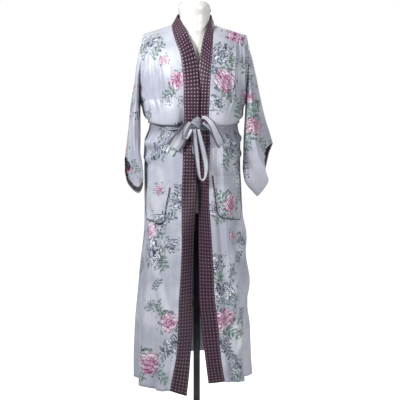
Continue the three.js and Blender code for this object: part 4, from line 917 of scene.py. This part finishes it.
def bandMaterial(name):
    g = Graph(name)
    u, v = g.uv("clothPlace")
    across = (g.math("FRACT", u * float(dots["columns"])) - 0.5) * (dots["bandWidth"] / dots["columns"])
    gap = g.length(across, (g.math("FRACT", v / dots["pitch"]) - 0.5) * dots["pitch"])
    ground = g.mix(g.step(g.noise(16, 3), 0.35, 0.65), "231021", "170a17")
    painted = g.mix(g.fall(gap, 3.6, 5.2) * 0.45, ground, "4a2438")
    petal = g.mix(g.step(g.noise(300, 2), 0.4, 0.65), "b08aa8", "875e7e")
    # Painted shade: the dots darken towards 5a3750 from drop 250 to 700, for the light falling off down the
    # band.
    petal = g.mix(g.step(v, 250.0, 700.0) * 0.6, petal, "5a3750")
    painted = g.mix(g.fall(gap, dots["inner"], dots["outer"]), painted, petal)
    sewn = g.fall(abs(u - 0.05), 0.005, 0.014) * (g.math("FRACT", v / 4.0) > 0.35)
    painted = g.mix(sewn * 0.5, painted, "8a6f80")
    crumple = g.noise(40, 4, 0.5, (1, 1, 0.5))
    g.bump(g.noise(1300, 2) * 0.08 + crumple, 0.4, 0.003)
    return g.finish(Base_Color=painted, Roughness=crumple * 0.15 + 0.38, Sheen_Weight=0.15)


def plainCloth(name, dark, pale):
    g = Graph(name)
    g.bump(g.noise(1100, 2, 0.6, (1, 1, 0.4)) + g.noise(60, 3) * 2.0, 0.35, 0.001)
    painted = g.mix(g.step(g.noise(25, 3), 0.3, 0.7), dark, pale)
    return g.finish(Base_Color=painted, Roughness=0.55, Sheen_Weight=0.2)


def hardMaterial(name, dark, pale, rough, metallic, coat):
    g = Graph(name)
    g.bump(g.noise(90, 3), 0.08, 0.0006)
    return g.finish(
        Base_Color=g.mix(g.step(g.noise(6, 4), 0.3, 0.7), dark, pale),
        Roughness=g.noise(20, 4) * 0.08 + rough, Metallic=metallic, Coat_Weight=coat)


satin = satinMaterial("printed_satin")
pocketSatin = satinMaterial("pocket_satin", hemAt=0.19)
bowSatin = satinMaterial("belt_satin", "c9cad0", "9a9ca8", edgeShadeLine=True, printed=False)
# The knot's satin is painted darker than the bow's, as painted shade for the shadows among its twisted
# strands.
knotShadedSatin = satinMaterial("knot_satin", "a3a6b0", "5f6270", printed=False)
# The belt's satin is painted darker still, as painted shade for the hollow under the blouse bag where it
# lies.
beltShadedSatin = satinMaterial("belt_ruched_satin", "9da0ac", "737688", printed=False)
dotted = bandMaterial("dotted_band")
facing = plainCloth("dark_facing", "24101c", "351a2a")
whiteForm = hardMaterial("glossy_white", "dcdad6", "eceae6", 0.2, 0.0, 0.4)
greyMetal = hardMaterial("dark_grey_metal", "3a3a3d", "57575a", 0.3, 0.75, 0.1)
print("materials done")


def dress(piece, material, slotName, *nodes):
    piece.data.materials.append(material)
    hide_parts(*nodes)
    return piece


# Cut sizes in metres: width, length and the flat area of the cut.
cuts = {
    "front_right": (0.34, 1.33, 0.34), "front_left": (0.3, 1.32, 0.31), "back": (0.72, 1.34, 0.74),
    "sleeve_right": (0.5, 0.3, 0.13), "sleeve_left": (0.5, 0.3, 0.13),
}
bandCut, bandArea, bandThickness = (0.058, 1.46), 0.078, 2.2

for name, (width, length, area) in cuts.items():
    closed = name.startswith("sleeve")
    made = dress(shell(name + "_satin", sheets[name], closed=closed), satin, "robe_satin", name)
    print(name, "area", round(sheetArea(sheets[name], closed), 4), "declared", area)
for name in ("band_right", "band_left"):
    made = shell(name + "_dotted", sheets[name], bandThickness, motifs=False)
    dress(made, dotted, "dotted_band", name)
    print(name, "area", round(sheetArea(sheets[name]), 4), "declared", bandArea)


# The facing is four rows of the sleeve's grid, one short of the cuff, moved inside the sleeve.
cuffFacing = {"thickness": 1.1, "lift": -2.3, "cut": (0.018, 0.42), "area": 0.0062}
for side in ("right", "left"):
    sheet = {key: value[-5:-1] for key, value in sheets["sleeve_" + side].items()}
    made = shell(
        "cuff_facing_" + side + "_dark", sheet, cuffFacing["thickness"], cuffFacing["lift"], True, False)
    dress(made, facing, "cuff_facing", "cuff_facing_" + side)
    print(side, "facing area", round(sheetArea(sheet, True), 4), "declared", cuffFacing["area"])

# A pocket's area is less than width times length by its rounded corners.
pocketThickness, pocketFullness = 1.3, 0.96
for side, cut in (("right", (0.12, 0.135)), ("left", (0.145, 0.15))):
    made = shell("pocket_" + side + "_satin", sheets["pocket_" + side], pocketThickness, pocketLift)
    dress(made, pocketSatin, "robe_satin", "pocket_" + side)
    print(side, "pocket area", round(sheetArea(sheets["pocket_" + side]), 4))


# Rings of "around" vertices joined one to the next, with flat ends made of four-sided faces.
def lofted(name, verts, around, place=None):
    grid = np.arange(len(verts)).reshape(-1, around)
    k = np.arange(around // 2 - 1)
    faces = [quads(wrapped(grid))]
    for ring, flip in ((grid[0], False), (grid[-1], True)):
        caps = np.stack([ring[k], ring[k + 1], ring[around - 2 - k], ring[around - 1 - k]], axis=-1)
        faces.append(caps if flip else caps[:, ::-1])
    return makeMesh(name, verts, facingOut(verts, np.concatenate(faces)), place, False)


# A tube: circles of a radius square to a path.
def tube(name, path, radius, around=10):
    ahead = unit(np.gradient(path, axis=0))
    side = unit(np.cross(ahead, [0, 0.3, 1.0]))
    up = np.cross(ahead, side)
    angle = np.linspace(0, 2 * np.pi, around, endpoint=False)
    ring = np.cos(angle)[None, :, None] * side[:, None] + np.sin(angle)[None, :, None] * up[:, None]
    return lofted(name, (path[:, None] + radius * ring).reshape(-1, 3), around)


piping = {"radius": 1.2, "out": 3.0, "lift": 4.2}


# Piping lies round the two sides and the bottom of a pocket, just outside its edge, and is evened
# out four times by the mean of each point and its neighbours.
for side in ("right", "left"):
    sheet = sheets["pocket_" + side]
    p, n = sheet["points"], sheet["normals"]
    edge = np.concatenate([p[:-1, 0], p[-1, :-1], p[::-1, -1]])
    edgeNormals = np.concatenate([n[:-1, 0], n[-1, :-1], n[::-1, -1]])
    away = unit(np.cross(np.gradient(edge, axis=0), edgeNormals))
    away *= np.sign(((edge - p.mean(axis=(0, 1))) * away).sum())
    path = edge + away * piping["out"] + edgeNormals * piping["lift"]
    for _ in range(4):
        path[1:-1] = (path[:-2] + 2 * path[1:-1] + path[2:]) / 4
    made = tube("pocket_piping_" + side + "_cord", path, piping["radius"])
    dress(made, facing, "piping", "pocket_piping_" + side)


belt = {"drop": 392, "lift": 4.5, "sideZ": 1172, "sideHeight": 24, "frontZ": 1151, "frontHeight": 17}
beltFront = table("x y", [
    [-18, -138.5], [9, -141.5], [28, -138.5],
])


# The belt lies in the hollow under the bag and comes forward over the bands; it is ruched.
def beltSheet():
    def stretch(surface, u, front):
        drop = belt["drop"] + 0 * u
        p = surface(u, drop)
        ahead = surface(u + 0.01, drop) - surface(u - 0.01, drop)
        out = unit(np.stack([ahead[:, 1], -ahead[:, 0], 0 * u], axis=-1))
        out *= np.sign((out * p)[:, :2].sum(axis=1))[:, None]
        return p + out * belt["lift"], smooth((0.42 - u) / 0.2) if front else 0 * u

    parts = [
        stretch(rightPlain, np.linspace(0, 0.95, 70), True),
        stretch(backPlain, np.linspace(-0.97, 0.97, 130), False),
        stretch(leftPlain, np.linspace(0.95, 0, 70), True),
    ]
    across = np.linspace(beltFront["x"][-1], beltFront["x"][0], 24)
    ahead = np.stack([across, np.interp(across, beltFront["x"], beltFront["y"]), 0 * across], axis=-1)
    parts.append((ahead, 1 + 0 * across))
    line = np.concatenate([p for p, _ in parts])
    lowered = np.concatenate([share for _, share in parts])
    for _ in range(3):
        line = (np.roll(line, 1, axis=0) + 2 * line + np.roll(line, -1, axis=0)) / 4
        lowered = (np.roll(lowered, 1) + 2 * lowered + np.roll(lowered, -1)) / 4
    height = belt["sideHeight"] + (belt["frontHeight"] - belt["sideHeight"]) * lowered
    middle = belt["sideZ"] + (belt["frontZ"] - belt["sideZ"]) * lowered
    length = np.cumsum(np.linalg.norm(np.diff(line, axis=0, append=line[:1]), axis=1))
    share = np.linspace(0.5, -0.5, 22)[:, None]
    points = np.repeat(line[None], 22, axis=0)
    points[..., 2] = middle + share * height
    out = unit(points * np.array([1, 1, 0]))
    wave = np.sin(share * 15 + 1.4 * np.sin(length / 23) + 0.9 * np.sin(length / 9.1 + 2))
    points = points + out * (wave * 1.1 + 1.2 * np.cos(share * np.pi))[..., None]
    v, u = np.meshgrid(share[:, 0] + 0.5, length / length[-1], indexing="ij")
    return {"points": points, "normals": gridNormals(points, True, np.zeros(3)), "u": 0.5 + 0 * u, "v": v}


sheet = beltSheet()
made = dress(shell("belt_ruched", sheet, 1.6, 0, True, False), beltShadedSatin, "belt_satin", "belt")
print("belt area", round(sheetArea(sheet, True), 4))


# A ribbon: a strip carried along a middle line, its width square to the line and turned by
# "twist"; the strip is gathered, so its section is a wave of a few ridges.
behindBow = np.array([0, 400.0, 1100])


def ribbonSheet(rows, steps, ridges, depth):
    line = dict(rows, at=np.arange(len(rows["x"]), dtype=float))
    at = np.linspace(0, len(rows["x"]) - 1, steps)
    middle = placeAlong(line, "at", at)
    for _ in range(3):
        middle[1:-1] = (middle[:-2] + 2 * middle[1:-1] + middle[2:]) / 4
    heading = unit(np.gradient(middle, axis=0))
    square = np.cross(heading, [0, 1.0, 0])
    flat = [unit(square[0])]
    for candidate in square[1:]:
        candidate = candidate if candidate @ flat[-1] >= 0 else -candidate
        flat.append(unit(candidate + 0.6 * flat[-1]))
    twist = np.radians(along(line, "at", "twist", at))[:, None]
    across = np.array(flat) * np.cos(twist) + np.array([0, 1.0, 0]) * np.sin(twist)
    w = np.linspace(0, 1, 19)
    half = (along(line, "at", "width", at) / 2)[:, None, None]
    normal = unit(np.cross(heading, across))
    fade = np.sin(np.pi * np.linspace(0, 1, steps))[:, None] ** 0.3
    wave = depth * np.sin(2 * np.pi * ridges * w[None] + 0.8 * np.sin(6 * np.linspace(0, 1, steps))[:, None])
    curl = 1.6 * (2 * w[None] - 1) ** 2
    points = middle[:, None] + across[:, None] * ((2 * w - 1)[None, :, None] * half)
    points = points + normal[:, None] * (wave * fade - curl)[..., None]
    u, v = np.meshgrid(w, np.linspace(0, 1, steps))
    return {"points": points, "normals": gridNormals(points, middle=behindBow), "u": u, "v": v}


tailRight = table("x y z width twist", [
    [-24, -155, 1166, 16, 0], [-35, -158, 1152, 28, 8], [-48, -160, 1130, 42, 4], [-62, -160, 1106, 50, 0],
    [-76, -158, 1084, 50, -4],
])
smallLoopRight = table("x y z width twist", [
    [-21, -166, 1172, 12, 20], [-33, -170, 1156, 16, 20], [-41, -174, 1138, 16, 30],
    [-42, -175, 1124, 14, 55], [-33, -174, 1119, 13, 66], [-25, -171, 1131, 13, 45],
    [-17, -167, 1148, 12, 20],
])
loopLeft = table("x y z width twist", [
    [19, -162, 1188, 12, -15], [34, -168, 1186, 16, -10], [52, -173, 1166, 22, 0], [66, -176, 1136, 27, 4],
    [80, -176, 1106, 30, 8], [87, -170, 1094, 30, 8], [80, -162, 1103, 28, 8], [64, -160, 1128, 22, 6],
    [46, -158, 1152, 15, 0], [22, -157, 1170, 11, 0],
])
loopLong = table("x y z width twist", [
    [-6, -160, 1148, 12, 20], [-4, -163, 1118, 15, 10], [2, -168, 1066, 16, 6], [8, -172, 1012, 13, 20],
    [12, -175, 988, 13, 50], [21, -176, 977, 13, 66], [30, -175, 989, 13, 50], [33, -173, 1022, 18, 12],
    [27, -169, 1062, 19, 6], [16, -165, 1108, 16, 6], [7, -162, 1148, 11, 20],
])
strandMiddle = table("x y z width twist", [
    [-15, -152.5, 1149, 9, 0], [-13, -153.5, 1124, 9, 6], [-11, -156.5, 1090, 9, 10],
    [-8, -159.5, 1064, 8, 16],
])
# Each ribbon: its route, the rows of its grid, its ridges and how deep they are in millimetres.
ribbons = {
    "bow_tail_right": (tailRight, 60, 2.2, 1.5), "bow_small_loop_right": (smallLoopRight, 90, 1.5, 1.0),
    "bow_loop_left": (loopLeft, 120, 2.1, 1.4), "bow_loop_long": (loopLong, 140, 1.4, 0.9),
    "bow_strand": (strandMiddle, 50, 1.3, 0.7),
}
# Cut sizes in metres: width and length.
ribbonCuts = {
    "bow_tail_right": (0.05, 0.1), "bow_small_loop_right": (0.018, 0.1), "bow_loop_left": (0.03, 0.2),
    "bow_loop_long": (0.018, 0.33), "bow_strand": (0.011, 0.085),
}
for name, (rows, steps, ridges, depth) in ribbons.items():
    sheet = ribbonSheet(rows, steps, ridges, depth)
    made = dress(shell(name + "_satin", sheet, 1.3, motifs=False), bowSatin, "belt_satin", name)
    area = sheetArea(sheet)
    width, length = ribbonCuts[name]


knotCentre = np.array([1, -156.5, 1171])
knotHalf = np.array([17, 12.5, 18])


# The knot: an ellipsoid with a soft waist and creases that run round it.
def knot():
    lon, lat = np.meshgrid(np.linspace(0, 2 * np.pi, 73)[:-1], np.linspace(0.02, np.pi - 0.02, 48))
    p = np.stack([np.sin(lat) * np.cos(lon), np.sin(lat) * np.sin(lon), np.cos(lat)], axis=-1)
    waist = 1 - 0.12 * (p[..., 0] ** 3 - 3 * p[..., 0] * p[..., 2] ** 2)
    crease = 0.09 * np.sin(8 * p[..., 2] + 5 * p[..., 0]) + 0.05 * np.sin(13 * p[..., 0] - 6 * p[..., 2])
    verts = (p * knotHalf * (waist + crease)[..., None] + knotCentre).reshape(-1, 3)
    return verts, lon, lat


knotVerts, lon, lat = knot()
knotPlace = np.stack([0.5 + 0 * lon, lat / 3.2], axis=-1).reshape(-1, 2)
dress(lofted("belt_knot_satin", knotVerts, 72, knotPlace), knotShadedSatin, "belt_satin", "belt_knot")


formCentreX = -5.5
formSections = table("z halfWidth front back square", [
    [848, 148, 96, 100, 2.2], [852, 152, 99, 104, 2.2], [905, 150, 104, 112, 2.2],
    [960, 146, 106, 114, 2.2], [1040, 138, 100, 106, 2.2], [1110, 122, 92, 92, 2.2],
    [1170, 113, 88, 84, 2.2], [1250, 128, 100, 92, 2.2], [1320, 142, 107, 97, 2.2],
    [1350, 148, 102, 97, 2.2], [1396, 155, 80, 82, 1.9], [1430, 155, 65, 66, 1.6],
    [1449, 147, 60, 57, 1.35], [1462, 120, 56, 52, 1.2], [1476, 84, 53, 49, 1.25], [1488, 64, 51, 51, 1.6],
    [1500, 55, 50, 49, 2], [1526, 53, 49, 49, 2], [1574, 52, 48, 48, 2], [1577, 49, 45, 45, 2],
])


# The form: level rings, each an oval |x|^n + |y|^n with its own depth to the front and the back.
def formVerts():
    z = np.concatenate([np.linspace(848, 852, 5), np.linspace(856, 1570, 170), np.linspace(1571, 1577, 8)])
    angle = np.linspace(0, 2 * np.pi, 129)[:-1]
    names = ("halfWidth", "front", "back", "square")
    half, front, back, square = [along(formSections, "z", name, z)[:, None] for name in names]
    c, s = np.cos(angle)[None], np.sin(angle)[None]
    depth = np.where(s < 0, front, back)
    x = formCentreX + half * np.sign(c) * np.abs(c) ** (2 / square)
    y = depth * np.sign(s) * np.abs(s) ** (2 / square)
    return np.stack([x, y, z[:, None] + 0 * x], axis=-1).reshape(-1, 3)


dress(lofted("form_torso_gloss", formVerts(), 128), whiteForm, "form", "form_torso")

for name in ("form_socket", "stand_pole", "stand_base"):
    node = bpy.data.objects[name]
    if not node.material_slots:
        node.data.materials.append(greyMetal)
    for materialSlot in node.material_slots:
        materialSlot.material = greyMetal
print("form and stand done")

bpy.ops.mesh.primitive_plane_add(size=24, location=(0, 0, -0.0005))
floor = bpy.context.object
floor.name = "floor_white"
pale, white = Graph("floor_pale"), (1, 1, 1, 1)
floor.data.materials.append(pale.finish(
    Base_Color=(0.5, 0.5, 0.5, 1), Roughness=0.8, Emission_Color=white,
    Emission_Strength=pale.node("ShaderNodeLightPath") * 0.85))

# The world is white where the camera sees it and dimmer where it lights the cloth.
world = bpy.data.worlds.new("studio")
bpy.context.scene.world = world
bpy.context.scene.view_settings.view_transform = "Standard"
world.use_nodes = True
nodes, links = world.node_tree.nodes, world.node_tree.links
lit, seen = nodes["Background"], nodes.new("ShaderNodeBackground")
for background, strength in ((lit, 0.31), (seen, 1.0)):
    background.inputs[0].default_value = white
    background.inputs[1].default_value = strength
path, blend = nodes.new("ShaderNodeLightPath"), nodes.new("ShaderNodeMixShader")
links.new(path.outputs["Is Camera Ray"], blend.inputs[0])
links.new(lit.outputs[0], blend.inputs[1])
links.new(seen.outputs[0], blend.inputs[2])
links.new(blend.outputs[0], nodes["World Output"].inputs[0])


def lookAt(thing, spot, aim):
    thing.location = spot
    thing.rotation_euler = (Vector(aim) - Vector(spot)).to_track_quat("-Z", "Y").to_euler()
    collection.objects.link(thing)


# Each light: its place, what it is aimed at, its size in metres and its power in watts.
lights = {
    "key": ((-1.25, -1.15, 2.2), (0, 0, 1.3), 0.4, 44),
    "fill": ((1.6, -2.2, 1.4), (0, 0, 0.7), 0.9, 29),
    "back": ((0.9, 2.4, 2.3), (0, 0, 0.9), 1.6, 42),
}
for name, (spot, aim, size, power) in lights.items():
    data = bpy.data.lights.new(name, "AREA")
    data.size, data.energy = size, power
    lookAt(bpy.data.objects.new(name, data), spot, aim)

camera = bpy.data.cameras.new("camera")
camera.lens, camera.sensor_width = focal, sensorWidth
eye = bpy.data.objects.new("camera", camera)
lookAt(eye, cameraSpot, cameraAim)
bpy.context.scene.camera = eye
